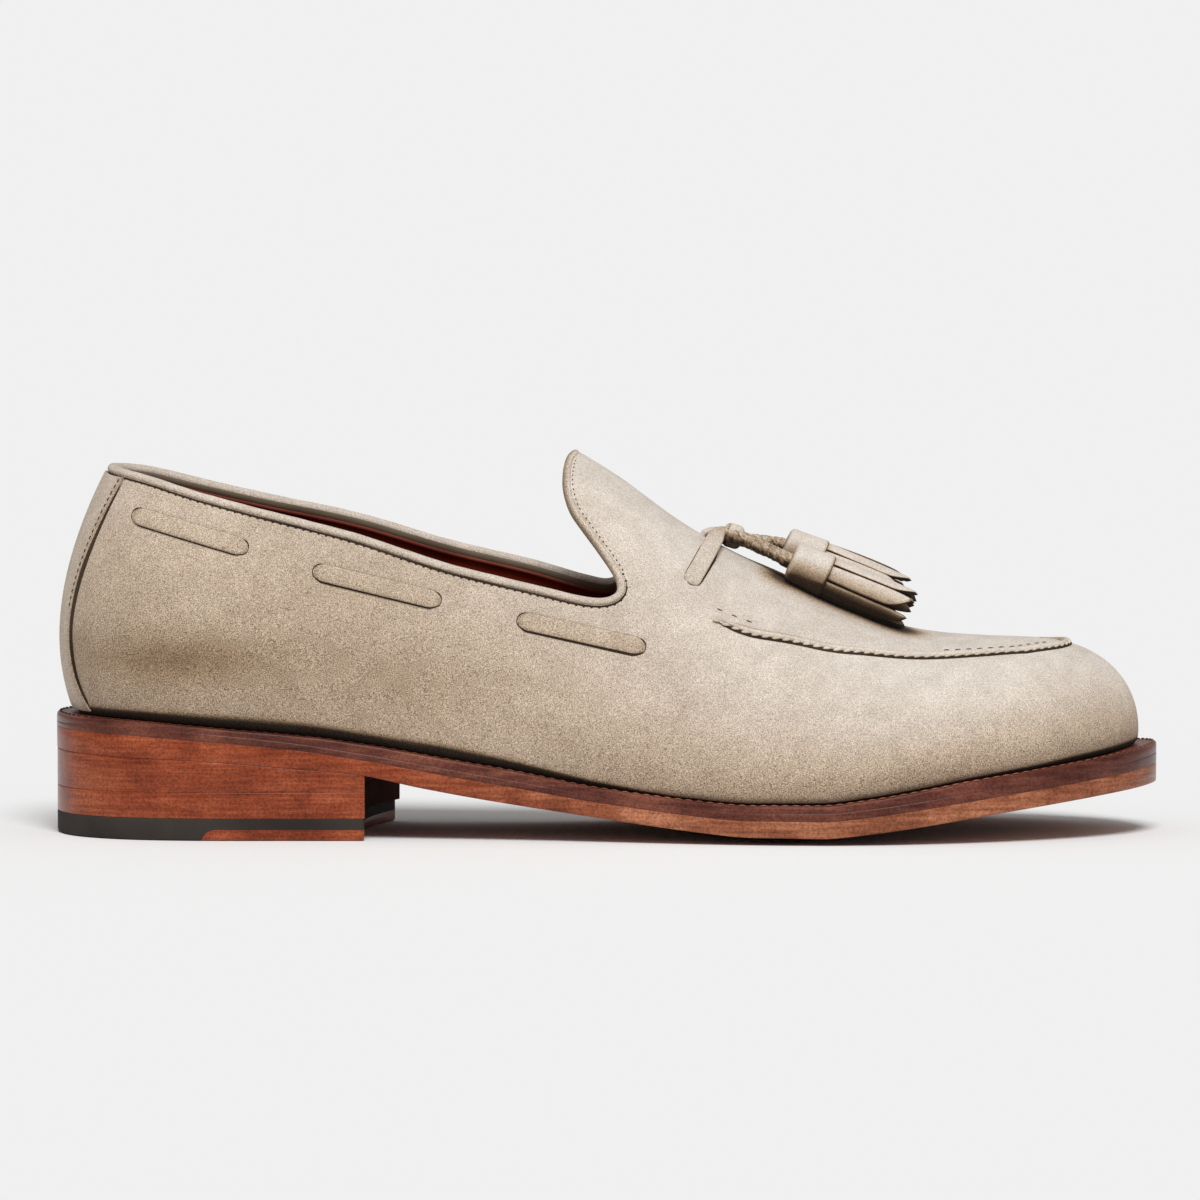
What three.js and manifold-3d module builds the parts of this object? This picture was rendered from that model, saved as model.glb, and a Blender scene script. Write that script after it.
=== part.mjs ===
// Right-foot tassel loafer: leather sole with a stacked heel, lasted suede upper, side lace and two tassels.
// Millimetres, +Z up, toe towards +X, inner (big toe) side towards +Y. The origin is on the floor, in the
// middle of the shoe's box.
import * as THREE from "three";
import { mergeVertices } from "three/addons/utils/BufferGeometryUtils.js";
import Module from "manifold-3d";

const wasm = await Module();
wasm.setup();

// Driving dimensions
const shoeLength = 300;
const ballWidth = 106.4;
const heelLift = 22.2; // floor to the outsole's underside at the back of the seat
const toeSpring = 13.6; // floor to the outsole's underside at the toe tip
const outsoleThickness = 4.4;
const midsoleThickness = 2.3;
const weltThickness = 3;
const rubberThickness = 2.7;
const tipThickness = 3;
const lowerLiftThickness = 6.6;
const soleBevel = 0.9;
const crownInset = 28; // the sole's underside is flat across further in than this
const instepRise = 88.2; // welt to the tongue's tip
const wall = 2;
const gap = 0.3; // clearance between pieces that meet
const weltShowsHeel = 5.1;
const weltShowsWaist = 3;
const weltShowsToe = 5.2;
const weltWidth = 13;
const tuck = 1.2; // how far the upper turns in just above the welt
const tuckHeight = 2.5;
const insoleThickness = 3;
const bindingDiameter = 2.4;
const laceWidth = 4.9;
const laceThickness = 1.2;
const tasselCordDiameter = 4.2;
const tasselHeadDiameter = 10.6;
const tasselHeadLength = 11.4;
const tasselFringeLength = 24;
const tasselStripThickness = 1.1;
const knotLength = 5.4;
const knotDiameter = 6;
const backStripThickness = 1.1;
const seamWidth = 2.2;
const seamHeight = 1.1;

const colour = {
  suede: 0xc4b198,
  lining: 0x4a1c10,
  weltEdge: 0x5e2f24,
  soleEdge: 0x86452b,
  heelEdge: 0x8c4a2e,
  rubber: 0x3f3b39,
};

// Outline of the sole seen from above, once round from the heel over the outer side.
// along is a share of shoeLength, across a share of ballWidth, positive on the inner side.
const soleOutline = [
  { along: 0.0, across: 0.0 },
  { along: 0.018, across: -0.175 },
  { along: 0.062, across: -0.282 },
  { along: 0.125, across: -0.326 },
  { along: 0.22, across: -0.33 },
  { along: 0.33, across: -0.335 },
  { along: 0.44, across: -0.366 },
  { along: 0.54, across: -0.425 },
  { along: 0.63, across: -0.471 },
  { along: 0.71, across: -0.486 },
  { along: 0.79, across: -0.464 },
  { along: 0.87, across: -0.395 },
  { along: 0.935, across: -0.286 },
  { along: 0.98, across: -0.15 },
  { along: 1.0, across: 0.02 },
  { along: 0.985, across: 0.17 },
  { along: 0.945, across: 0.306 },
  { along: 0.885, across: 0.413 },
  { along: 0.81, across: 0.486 },
  { along: 0.735, across: 0.514 },
  { along: 0.66, across: 0.486 },
  { along: 0.58, across: 0.402 },
  { along: 0.5, across: 0.322 },
  { along: 0.42, across: 0.29 },
  { along: 0.33, across: 0.298 },
  { along: 0.22, across: 0.322 },
  { along: 0.125, across: 0.324 },
  { along: 0.062, across: 0.282 },
  { along: 0.018, across: 0.175 },
];

// Underside of the outsole: at the middle it is pitch of heelLift + spring of toeSpring high, and at the edge
// crown of crownRise higher. outsole and midsole are shares of the two thicknesses.
const crownRise = 1.9;
const soleLine = [
  { along: 0.0, pitch: 1.04, spring: 0, crown: 0, outsole: 1.34, midsole: 0.4 },
  { along: 0.057, pitch: 1.01, spring: 0, crown: 0, outsole: 1.34, midsole: 0.87 },
  { along: 0.13, pitch: 0.973, spring: 0, crown: 0, outsole: 1.18, midsole: 0.82 },
  { along: 0.22, pitch: 0.874, spring: 0, crown: 0, outsole: 1.12, midsole: 0.65 },
  { along: 0.28, pitch: 0.797, spring: 0, crown: 0, outsole: 0.9, midsole: 0.6 },
  { along: 0.33, pitch: 0.653, spring: 0, crown: 0.0, outsole: 1.0, midsole: 0.65 },
  { along: 0.4, pitch: 0.482, spring: 0, crown: 0.05, outsole: 1.02, midsole: 0.65 },
  { along: 0.49, pitch: 0.275, spring: 0, crown: 0.42, outsole: 0.9, midsole: 0.62 },
  { along: 0.58, pitch: 0.077, spring: 0, crown: 0.9, outsole: 0.93, midsole: 0.74 },
  { along: 0.635, pitch: 0, spring: 0, crown: 1.1, outsole: 0.98, midsole: 0.77 },
  { along: 0.69, pitch: 0, spring: 0, crown: 1.0, outsole: 1.0, midsole: 0.8 },
  { along: 0.735, pitch: 0, spring: 0.1, crown: 0.9, outsole: 1.0, midsole: 0.82 },
  { along: 0.77, pitch: 0, spring: 0.213, crown: 0.82, outsole: 1.0, midsole: 0.82 },
  { along: 0.86, pitch: 0, spring: 0.551, crown: 0.53, outsole: 1.0, midsole: 0.82 },
  { along: 0.95, pitch: 0, spring: 0.853, crown: 0.2, outsole: 1.02, midsole: 0.9 },
  { along: 1.0, pitch: 0, spring: 1.0, crown: 0, outsole: 1.11, midsole: 1.08 },
];

// Sections of the last. rise is the ridge over the welt as a share of instepRise; wallPower and crownPower
// shape the section; bulge and archBulge stand out past the welt line, shares of bulgeSize; ridge is the
// ridge's place across, a share of ballWidth.
const bulgeSize = 4.6;
const lastSections = [
  { along: 0.113, rise: 0.968, wallPower: 2.0, crownPower: 2.0, bulge: 1.06, archBulge: 0, ridge: 0 },
  { along: 0.22, rise: 1.051, wallPower: 2.0, crownPower: 2.0, bulge: 0.87, archBulge: 0.25, ridge: 0.006 },
  { along: 0.333, rise: 1.112, wallPower: 1.86, crownPower: 2.0, bulge: 0.7, archBulge: 0.7, ridge: 0.014 },
  { along: 0.4, rise: 1.084, wallPower: 1.76, crownPower: 2.0, bulge: 0.65, archBulge: 0.85, ridge: 0.02 },
  { along: 0.471, rise: 0.989, wallPower: 1.66, crownPower: 2.0, bulge: 0.6, archBulge: 0.75, ridge: 0.026 },
  { along: 0.512, rise: 0.922, wallPower: 1.62, crownPower: 2.0, bulge: 0.58, archBulge: 0.6, ridge: 0.03 },
  { along: 0.566, rise: 0.808, wallPower: 1.6, crownPower: 2.0, bulge: 0.55, archBulge: 0.35, ridge: 0.034 },
  { along: 0.612, rise: 0.731, wallPower: 1.62, crownPower: 2.0, bulge: 0.5, archBulge: 0.15, ridge: 0.037 },
  { along: 0.666, rise: 0.651, wallPower: 1.7, crownPower: 2.03, bulge: 0.45, archBulge: 0, ridge: 0.039 },
  { along: 0.721, rise: 0.553, wallPower: 1.82, crownPower: 2.1, bulge: 0.4, archBulge: 0, ridge: 0.039 },
  { along: 0.766, rise: 0.474, wallPower: 1.97, crownPower: 2.2, bulge: 0.33, archBulge: 0, ridge: 0.038 },
  { along: 0.803, rise: 0.432, wallPower: 2.13, crownPower: 2.3, bulge: 0.26, archBulge: 0, ridge: 0.035 },
  { along: 0.839, rise: 0.404, wallPower: 2.3, crownPower: 2.4, bulge: 0.18, archBulge: 0, ridge: 0.031 },
  { along: 0.875, rise: 0.382, wallPower: 2.45, crownPower: 2.45, bulge: 0.12, archBulge: 0, ridge: 0.028 },
];

// Top edge of the collar and tongue seen from the outer side, from the heel to the tongue's tip.
// rise is the height over the welt as a share of instepRise; innerRise is added on the inner side.
const collarLine = [
  { along: 0.035, rise: 0.77, innerRise: 0 },
  { along: 0.0437, rise: 0.76, innerRise: 0 },
  { along: 0.0847, rise: 0.736, innerRise: 0.006 },
  { along: 0.1327, rise: 0.701, innerRise: 0.0125 },
  { along: 0.1887, rise: 0.67, innerRise: 0.017 },
  { along: 0.274, rise: 0.637, innerRise: 0.028 },
  { along: 0.356, rise: 0.595, innerRise: 0.036 },
  { along: 0.4347, rise: 0.575, innerRise: 0.0385 },
  { along: 0.484, rise: 0.565, innerRise: 0.028 },
  { along: 0.5017, rise: 0.5726, innerRise: 0.017 },
  { along: 0.5087, rise: 0.587, innerRise: 0.015 },
  { along: 0.5107, rise: 0.605, innerRise: 0.013 },
  { along: 0.5053, rise: 0.645, innerRise: 0.012 },
  { along: 0.4843, rise: 0.739, innerRise: 0.009 },
  { along: 0.4677, rise: 0.808, innerRise: 0.006 },
  { along: 0.4623, rise: 0.859, innerRise: 0.003 },
  { along: 0.461, rise: 0.901, innerRise: 0 },
  { along: 0.4623, rise: 0.945, innerRise: 0 },
  { along: 0.4653, rise: 0.976, innerRise: 0 },
  { along: 0.4707, rise: 0.99, innerRise: 0 },
];

// The apron's pinched seam. level is its height as a share of the section's own height; the rows past
// the toe's fan centre go by fan, from 0 at the side to 1 at the toe tip.
const seamLine = [
  { along: 0.598, fan: 0, level: 0.706 },
  { along: 0.625, fan: 0, level: 0.707 },
  { along: 0.662, fan: 0, level: 0.731 },
  { along: 0.71, fan: 0, level: 0.769 },
  { along: 0.759, fan: 0, level: 0.831 },
  { along: 0.792, fan: 0, level: 0.863 },
  { along: 0.83, fan: 0, level: 0.898 },
  { along: 0.875, fan: 0.02, level: 0.928 },
  { along: 0.875, fan: 0.5, level: 0.932 },
  { along: 0.875, fan: 1, level: 0.938 },
];

// The lace's three bars under the collar: its middle line from end to end, rise as in collarLine.
const laceBars = [
  { name: "rear", fromAlong: 0.0717, fromRise: 0.613, toAlong: 0.1773, toRise: 0.541 },
  { name: "middle", fromAlong: 0.2353, fromRise: 0.501, toAlong: 0.351, toRise: 0.473 },
  { name: "front", fromAlong: 0.419, fromRise: 0.458, toAlong: 0.5347, toRise: 0.431 },
];
// The lace's front run, from its slot up to the knot on the ridge.
const frontRun = { slotAlong: 0.578, slotRise: 0.633, topAlong: 0.599 };

// Back strip: its half width seen from the side, as a share of shoeLength from the heel's back edge.
const backStrip = [
  { rise: 0.0, reach: 0.019 },
  { rise: 0.12, reach: 0.0125 },
  { rise: 0.25, reach: 0.0105 },
  { rise: 0.4, reach: 0.0125 },
  { rise: 0.56, reach: 0.016 },
  { rise: 0.73, reach: 0.0195 },
];

const heelFanCentre = 0.113; // shares of shoeLength
const toeFanCentre = 0.875;
const outerBreast = 0.282;
const innerBreast = 0.31;
const tipFront = 0.135;
const breastHollow = 4.2; // millimetres from here on
const heelInset = 0.5;
const innerCornerCut = 1.4;
const tipCorner = 4;

// A smooth function through the rows of a table: cubic, with the slopes of its neighbours, and level
// where the rows turn or stay level.
function smoothColumn(rows, column, key = "along") {
  const x = rows.map((row) => row[key]);
  const y = rows.map((row) => row[column]);
  const slope = x.map((_, i) => {
    const a = Math.max(0, i - 1);
    const b = Math.min(x.length - 1, i + 1);
    const turns = a < i && i < b && (y[i] - y[a]) * (y[b] - y[i]) <= 0;
    return turns ? 0 : (y[b] - y[a]) / (x[b] - x[a]);
  });
  return (at) => {
    if (at <= x[0]) return y[0];
    if (at >= x[x.length - 1]) return y[x.length - 1];
    let i = 0;
    while (at > x[i + 1]) i++;
    const h = x[i + 1] - x[i];
    const f = (at - x[i]) / h;
    const f2 = f * f;
    const f3 = f2 * f;
    return (
      (2 * f3 - 3 * f2 + 1) * y[i] +
      (f3 - 2 * f2 + f) * h * slope[i] +
      (3 * f2 - 2 * f3) * y[i + 1] +
      (f3 - f2) * h * slope[i + 1]
    );
  };
}

const alongOf = (x) => x / shoeLength + 0.5;
const xOf = (along) => (along - 0.5) * shoeLength;

const pitchAt = smoothColumn(soleLine, "pitch");
const springAt = smoothColumn(soleLine, "spring");
const crownAt = smoothColumn(soleLine, "crown");
const outsoleAt = smoothColumn(soleLine, "outsole");
const midsoleAt = smoothColumn(soleLine, "midsole");
const treadZ = (x) => heelLift * pitchAt(alongOf(x)) + toeSpring * springAt(alongOf(x));
const edgeZ = (x) => treadZ(x) + crownRise * crownAt(alongOf(x));
const outsoleTop = (x) => edgeZ(x) + outsoleThickness * outsoleAt(alongOf(x));
const midsoleBottom = (x) => outsoleTop(x) + gap;
const midsoleTop = (x) => midsoleBottom(x) + midsoleThickness * midsoleAt(alongOf(x));
const weltBottom = (x) => midsoleTop(x) + gap;
const weltTop = (x) => weltBottom(x) + weltThickness;

// Dense outline, moved across so that the widest points lie evenly about the middle.
const outlineCurve = new THREE.CatmullRomCurve3(
  soleOutline.map((p) => new THREE.Vector3(xOf(p.along), p.across * ballWidth, 0)),
  true,
  "centripetal",
);
const outlineSteps = 480;
const rawOutline = outlineCurve.getPoints(outlineSteps).slice(0, outlineSteps);
const lowX = Math.min(...rawOutline.map((p) => p.x));
const highX = Math.max(...rawOutline.map((p) => p.x));
const lowY = Math.min(...rawOutline.map((p) => p.y));
const highY = Math.max(...rawOutline.map((p) => p.y));
const centreY = (lowY + highY) / 2;
const outline = rawOutline.map((p) => new THREE.Vector2(p.x - (lowX + highX) / 2, p.y - centreY));

const wallPowerAt = smoothColumn(lastSections, "wallPower");
const crownPowerAt = smoothColumn(lastSections, "crownPower");
const bulgeAt = smoothColumn(lastSections, "bulge");
const archBulgeAt = smoothColumn(lastSections, "archBulge");
const riseAt = smoothColumn(lastSections, "rise");
const ridgeAt = smoothColumn(lastSections, "ridge");
const ridgeY = (along) => ridgeAt(along) * ballWidth - centreY;
const crownZ = (x) => weltTop(x) + riseAt(alongOf(x)) * instepRise;

// Stations round the shoe: t is 0 at the heel's back and 1 at the toe tip; side is -1 on the outer side.
const heelFanShare = 0.22;
const toeFanShare = 0.8;
function station(side, t) {
  if (t < heelFanShare) {
    const angle = ((t / heelFanShare) * Math.PI) / 2;
    return {
      x: xOf(heelFanCentre),
      y: ridgeY(heelFanCentre),
      dx: -Math.cos(angle),
      dy: side * Math.sin(angle),
    };
  }
  if (t <= toeFanShare) {
    const f = (t - heelFanShare) / (toeFanShare - heelFanShare);
    const along = heelFanCentre + (toeFanCentre - heelFanCentre) * f;
    return { x: xOf(along), y: ridgeY(along), dx: 0, dy: side };
  }
  const angle = (((t - toeFanShare) / (1 - toeFanShare)) * Math.PI) / 2;
  return {
    x: xOf(toeFanCentre),
    y: ridgeY(toeFanCentre),
    dx: Math.sin(angle),
    dy: side * Math.cos(angle),
  };
}

const stationOfAlong = (along) =>
  heelFanShare + ((along - heelFanCentre) / (toeFanCentre - heelFanCentre)) * (toeFanShare - heelFanShare);

// Distance from a station's origin to the sole's outline, in the station's direction.
function rayToOutline({ x, y, dx, dy }) {
  let best = 0;
  for (let i = 0; i < outline.length; i++) {
    const a = outline[i];
    const b = outline[(i + 1) % outline.length];
    const ex = b.x - a.x;
    const ey = b.y - a.y;
    const det = dx * ey - dy * ex;
    if (Math.abs(det) < 1e-12) continue;
    const along = ((a.x - x) * ey - (a.y - y) * ex) / det;
    const share = ((a.x - x) * dy - (a.y - y) * dx) / det;
    if (share >= -1e-9 && share <= 1 + 1e-9 && along > best) best = along;
  }
  return best;
}

const reachSamples = 400;
const reachTable = {};
for (const side of [-1, 1]) {
  reachTable[side] = Array.from({ length: reachSamples + 1 }, (_, i) =>
    rayToOutline(station(side, i / reachSamples)),
  );
}
function soleReach(side, t) {
  const at = Math.min(Math.max(t, 0), 1) * reachSamples;
  const i = Math.min(Math.floor(at), reachSamples - 1);
  return reachTable[side][i] * (i + 1 - at) + reachTable[side][i + 1] * (at - i);
}

const weltShowsAt = smoothColumn(
  [
    { along: 0, shows: weltShowsHeel },
    { along: 0.08, shows: (weltShowsHeel + 2 * weltShowsWaist) / 3 },
    { along: 0.3, shows: weltShowsWaist },
    { along: 0.5, shows: weltShowsWaist },
    { along: 0.8, shows: (weltShowsWaist + 2 * weltShowsToe) / 3 },
    { along: 1, shows: weltShowsToe },
  ],
  "shows",
);

// Point of the plan at a station, inset from the sole's outline.
function planPoint(side, t, inset) {
  const st = station(side, t);
  const r = soleReach(side, t) - inset;
  return new THREE.Vector2(st.x + st.dx * r, st.y + st.dy * r);
}
function featherReach(side, t) {
  const edge = planPoint(side, t, 0);
  return soleReach(side, t) - weltShowsAt(alongOf(edge.x));
}

// The last's surface: s is 0 at the welt and 1 on the ridge.
function lastPoint(side, t, s) {
  const st = station(side, t);
  const reach = featherReach(side, t);
  const along = alongOf(st.x);
  const footZ = weltTop(st.x + st.dx * reach) + gap;
  const height = crownZ(st.x) - footZ;
  const angle = (s * Math.PI) / 2;
  const level = Math.sin(angle) ** (2 / wallPowerAt(along));
  const span = Math.max(Math.cos(angle), 0) ** (2 / crownPowerAt(along));
  const bulge = bulgeSize * (bulgeAt(along) + (side > 0 ? archBulgeAt(along) : 0));
  const tucked = Math.max(0, 1 - (level * height) / tuckHeight);
  const r = reach * span + bulge * 6.75 * level * (1 - level) ** 2 - tuck * tucked * tucked;
  return new THREE.Vector3(st.x + st.dx * r, st.y + st.dy * r, footZ + height * level);
}
function lastNormal(side, t, s) {
  const step = 0.002;
  const t0 = Math.max(t - step, 0);
  const t1 = Math.min(t + step, 1);
  const s0 = Math.max(s - step, 0);
  const s1 = Math.min(s + step, 0.995);
  const along = lastPoint(side, t1, Math.min(s, 0.995)).sub(lastPoint(side, t0, Math.min(s, 0.995)));
  const up = lastPoint(side, t, s1).sub(lastPoint(side, t, s0));
  return along.cross(up).multiplyScalar(-side).normalize();
}
const levelToS = (side, t, level) => {
  const along = alongOf(station(side, t).x);
  return (Math.asin(level ** (wallPowerAt(along) / 2)) * 2) / Math.PI;
};

function bisect(low, high, tooLow) {
  for (let i = 0; i < 34; i++) {
    const mid = (low + high) / 2;
    if (tooLow(mid)) low = mid;
    else high = mid;
  }
  return (low + high) / 2;
}
// Station and height share of the surface point seen from the side at (x, z).
function findOnLast(side, x, z) {
  const sAt = (t) => bisect(0, 1, (s) => lastPoint(side, t, s).z < z);
  const t = bisect(0, 1, (at) => lastPoint(side, at, sAt(at)).x < x);
  return { t, s: sAt(t) };
}
function surfaceFrame(side, x, z) {
  const { t, s } = findOnLast(side, x, z);
  return { point: lastPoint(side, t, s), normal: lastNormal(side, t, s) };
}

// Solids
function toSolid(positions, triangles) {
  const geometry = new THREE.BufferGeometry();
  geometry.setAttribute("position", new THREE.Float32BufferAttribute(positions.flat(), 3));
  geometry.setIndex(triangles.flat());
  return solidOf(geometry);
}
function solidOf(geometry) {
  const bare = new THREE.BufferGeometry();
  bare.setAttribute("position", geometry.getAttribute("position"));
  if (geometry.index) bare.setIndex(geometry.index);
  const merged = mergeVertices(bare, 1e-4);
  const kept = [];
  const index = merged.index.array;
  for (let i = 0; i < index.length; i += 3) {
    const [a, b, c] = [index[i], index[i + 1], index[i + 2]];
    if (a !== b && b !== c && c !== a) kept.push(a, b, c);
  }
  return new wasm.Manifold(
    new wasm.Mesh({
      numProp: 3,
      vertProperties: merged.attributes.position.array,
      triVerts: new Uint32Array(kept),
    }),
  );
}
function geometryOf(solid) {
  const mesh = solid.getMesh();
  const geometry = new THREE.BufferGeometry();
  geometry.setAttribute("position", new THREE.BufferAttribute(mesh.vertProperties, 3));
  geometry.setIndex(new THREE.BufferAttribute(mesh.triVerts, 1));
  geometry.computeVertexNormals();
  return geometry;
}

// Closed body between rings of equal length, each a list of Vector3, with its two ends capped.
// A ring's pairs (i and its mirror) are joined across, so that a curved cap stays smooth.
function loftRings(rings, capAcross = false) {
  const count = rings[0].length;
  const positions = rings.flat().map((p) => [p.x, p.y, p.z]);
  const triangles = [];
  for (let k = 0; k + 1 < rings.length; k++) {
    for (let i = 0; i < count; i++) {
      const j = (i + 1) % count;
      const a = k * count + i;
      const b = k * count + j;
      triangles.push([a, b, b + count], [a, b + count, a + count]);
    }
  }
  const cap = (base, flip) => {
    const add = (a, b, c) => {
      const corners = flip ? [a, c, b] : [a, b, c];
      triangles.push(corners.map((corner) => base + corner));
    };
    if (capAcross) {
      for (let i = 0; i < count / 2; i++) {
        const near = count - i;
        if (near % count !== i) add(i, i + 1, near % count);
        if (near - 1 > i + 1) add(i + 1, near - 1, near % count);
      }
    } else {
      for (let i = 1; i + 1 < count; i++) add(0, i, i + 1);
    }
  };
  cap(0, true);
  cap((rings.length - 1) * count, false);
  const solid = toSolid(positions, triangles);
  return solid.volume() < 0 ? toSolid(positions, triangles.map(([a, b, c]) => [a, c, b])) : solid;
}

// Stations used for the plates and the upper's grid.
const heelFanSteps = 7;
const straightSteps = 20;
const toeFanSteps = 7;
const stations = [
  ...Array.from({ length: heelFanSteps }, (_, i) => (i / heelFanSteps) * heelFanShare),
  ...Array.from(
    { length: straightSteps },
    (_, i) => heelFanShare + (i / straightSteps) * (toeFanShare - heelFanShare),
  ),
  ...Array.from({ length: toeFanSteps + 1 }, (_, i) => toeFanShare + (i / toeFanSteps) * (1 - toeFanShare)),
];

// Plan ring over the whole shoe: outer side from heel to toe, then the inner side back.
function planRing(insetAt, heightAt) {
  const at = (side, t) => {
    const flat = planPoint(side, t, insetAt(side, t));
    return new THREE.Vector3(flat.x, flat.y, heightAt(flat.x));
  };
  return [
    ...stations.map((t) => at(-1, t)),
    ...stations
      .slice(1, -1)
      .reverse()
      .map((t) => at(1, t)),
  ];
}

function makeOutsole() {
  const flatInset = (side, t) => Math.min(crownInset, soleReach(side, t) * 0.6);
  const halfInset = (side, t) => flatInset(side, t) / 2;
  return loftRings(
    [
      planRing(flatInset, treadZ),
      planRing(halfInset, (x) => treadZ(x) + (edgeZ(x) - treadZ(x)) * 0.35),
      planRing(() => soleBevel, edgeZ),
      planRing(() => 0, (x) => edgeZ(x) + soleBevel),
      planRing(() => 0, outsoleTop),
    ],
    true,
  );
}

function makeMidsole() {
  return loftRings([planRing(() => 0, midsoleBottom), planRing(() => 0, midsoleTop)], true);
}

function makeWelt() {
  const outer = loftRings(
    [
      planRing(() => 0, weltBottom),
      planRing(() => 0, (x) => weltTop(x) - soleBevel),
      planRing(() => soleBevel, weltTop),
    ],
    true,
  );
  const below = planRing(() => weltWidth, (x) => weltBottom(x) - weltThickness);
  const above = planRing(() => weltWidth, (x) => weltTop(x) + weltThickness);
  return outer.subtract(loftRings([below, above], true));
}

function makeInsole() {
  const inside = (side, t) => soleReach(side, t) - featherReach(side, t) + tuck + wall + 2 * gap;
  const boss = () => weltWidth + gap;
  const top = (x) => weltTop(x) + gap + insoleThickness;
  return loftRings(
    [
      planRing(boss, (x) => midsoleTop(x) + gap),
      planRing(boss, (x) => weltTop(x) + gap),
      planRing(inside, (x) => weltTop(x) + gap),
      planRing(inside, top),
    ],
    true,
  );
}

// Heel plan: the sole's outline as far as the hollow breast. cornerCut takes the inner corner back.
const heelSteps = 11;
const breastSteps = 8;
function heelRing(inset, heightAt, cornerCut = 0) {
  const endOf = { [-1]: stationOfAlong(outerBreast), 1: stationOfAlong(innerBreast) };
  const sideRun = (side) =>
    Array.from({ length: heelSteps + 1 }, (_, i) => planPoint(side, (endOf[side] * i) / heelSteps, inset));
  const outer = sideRun(-1);
  const inner = sideRun(1).slice(1);
  const start = outer[outer.length - 1];
  const end = inner[inner.length - 1];
  end.x -= cornerCut;
  const breast = Array.from({ length: breastSteps - 1 }, (_, i) => {
    const f = (i + 1) / breastSteps;
    const hollow = breastHollow * 4 * f * (1 - f);
    return new THREE.Vector2(start.x + (end.x - start.x) * f - hollow, start.y + (end.y - start.y) * f);
  });
  return [...outer, ...breast, ...inner.reverse()].map((p) => new THREE.Vector3(p.x, p.y, heightAt(p.x)));
}
function heelPlate(bottomAt, topAt, inset, cornerCut = 0) {
  return loftRings([heelRing(inset, bottomAt, cornerCut), heelRing(inset, topAt)]);
}

const rubberTop = tipThickness + gap + rubberThickness;
const lowerLiftBottom = rubberTop + gap;
const lowerLiftTop = lowerLiftBottom + lowerLiftThickness;

// Space of the leather tip under the rubber: in front of a line across the heel, its back edge rounded.
function tipRegion(grow) {
  const back = xOf(tipFront) - grow;
  const top = tipThickness + grow;
  const shape = new THREE.Shape();
  shape.moveTo(back, -tipThickness);
  shape.lineTo(back, 0);
  shape.quadraticCurveTo(back + tipCorner / 4, top, back + tipCorner, top);
  shape.lineTo(0, top);
  shape.lineTo(0, -tipThickness);
  const block = new THREE.ExtrudeGeometry(shape, { depth: ballWidth, bevelEnabled: false, curveSegments: 6 });
  block.rotateX(Math.PI / 2);
  block.translate(0, ballWidth / 2, 0);
  return solidOf(block);
}
const flat = (z) => () => z;
const wholeTip = () => heelPlate(flat(0), flat(rubberTop), heelInset, innerCornerCut);

function makeHeelRubber() {
  return wholeTip().subtract(tipRegion(gap));
}
function makeHeelTip() {
  return wholeTip().intersect(tipRegion(0));
}

// Upper
const upperRows = 11;
const heightShares = Array.from({ length: upperRows + 1 }, (_, j) => {
  const f = j / upperRows;
  return f < 1 ? 0.94 * f ** 1.15 + 0.06 * f : 1;
});

// The upper's skin as a closed body. offset moves it inwards along its normals.
function lastBody(offset, footDrop) {
  const skin = (side, t, s) => {
    const p = lastPoint(side, t, s);
    if (!offset) return p;
    if (s === 1) return p.setZ(p.z - offset);
    return p.addScaledVector(lastNormal(side, t, s), -offset);
  };
  const half = (side) =>
    stations.map((t) => {
      const column = heightShares.map((s) => skin(side, t, s));
      const foot = column[0].clone();
      foot.z = lastPoint(side, t, 0).z - footDrop;
      return [foot, ...column];
    });
  const outer = half(-1);
  const inner = half(1);
  const last = outer.length - 1;
  for (const end of [0, last]) {
    inner[end] = outer[end];
  }
  const positions = [];
  const triangles = [];
  const put = (p) => positions.push([p.x, p.y, p.z]) - 1;
  const addSide = (columns, flip) => {
    const ids = columns.map((column) => column.map(put));
    for (let i = 0; i < last; i++) {
      for (let j = 0; j + 1 < ids[0].length; j++) {
        const quad = [ids[i][j], ids[i + 1][j], ids[i + 1][j + 1], ids[i][j + 1]];
        const [a, b, c, d] = flip ? quad.reverse() : quad;
        triangles.push([a, b, c], [a, c, d]);
      }
    }
    return ids;
  };
  const outerIds = addSide(outer, false);
  const innerIds = addSide(inner, true);
  for (let i = 0; i < last; i++) {
    const [a, b] = [outerIds[i][0], outerIds[i + 1][0]];
    const [c, d] = [innerIds[i + 1][0], innerIds[i][0]];
    triangles.push([b, a, c], [a, d, c]);
  }
  return toSolid(positions, triangles);
}

// How far the collar's line runs on behind the heel and past the tongue's tip.
const runOut = { back: 12, up: 2, tongue: 16 };
// The collar's edge line seen from the side, moved down (into the upper) by a distance.
function collarCurve(side, inward) {
  const points = collarLine.map((row) => {
    const x = xOf(row.along);
    const rise = row.rise + (side > 0 ? row.innerRise : 0);
    return new THREE.Vector3(x, 0, weltTop(x) + rise * instepRise);
  });
  const back = points[0].clone().add(new THREE.Vector3(-runOut.back, 0, runOut.up));
  const curve = new THREE.CatmullRomCurve3([back, ...points], false, "centripetal");
  const samples = curve.getSpacedPoints(130);
  return samples.map((p, i) => {
    const before = samples[Math.max(i - 1, 0)];
    const after = samples[Math.min(i + 1, samples.length - 1)];
    const tangent = after.clone().sub(before).normalize();
    return new THREE.Vector2(p.x + tangent.z * inward, p.z - tangent.x * inward);
  });
}

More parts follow.
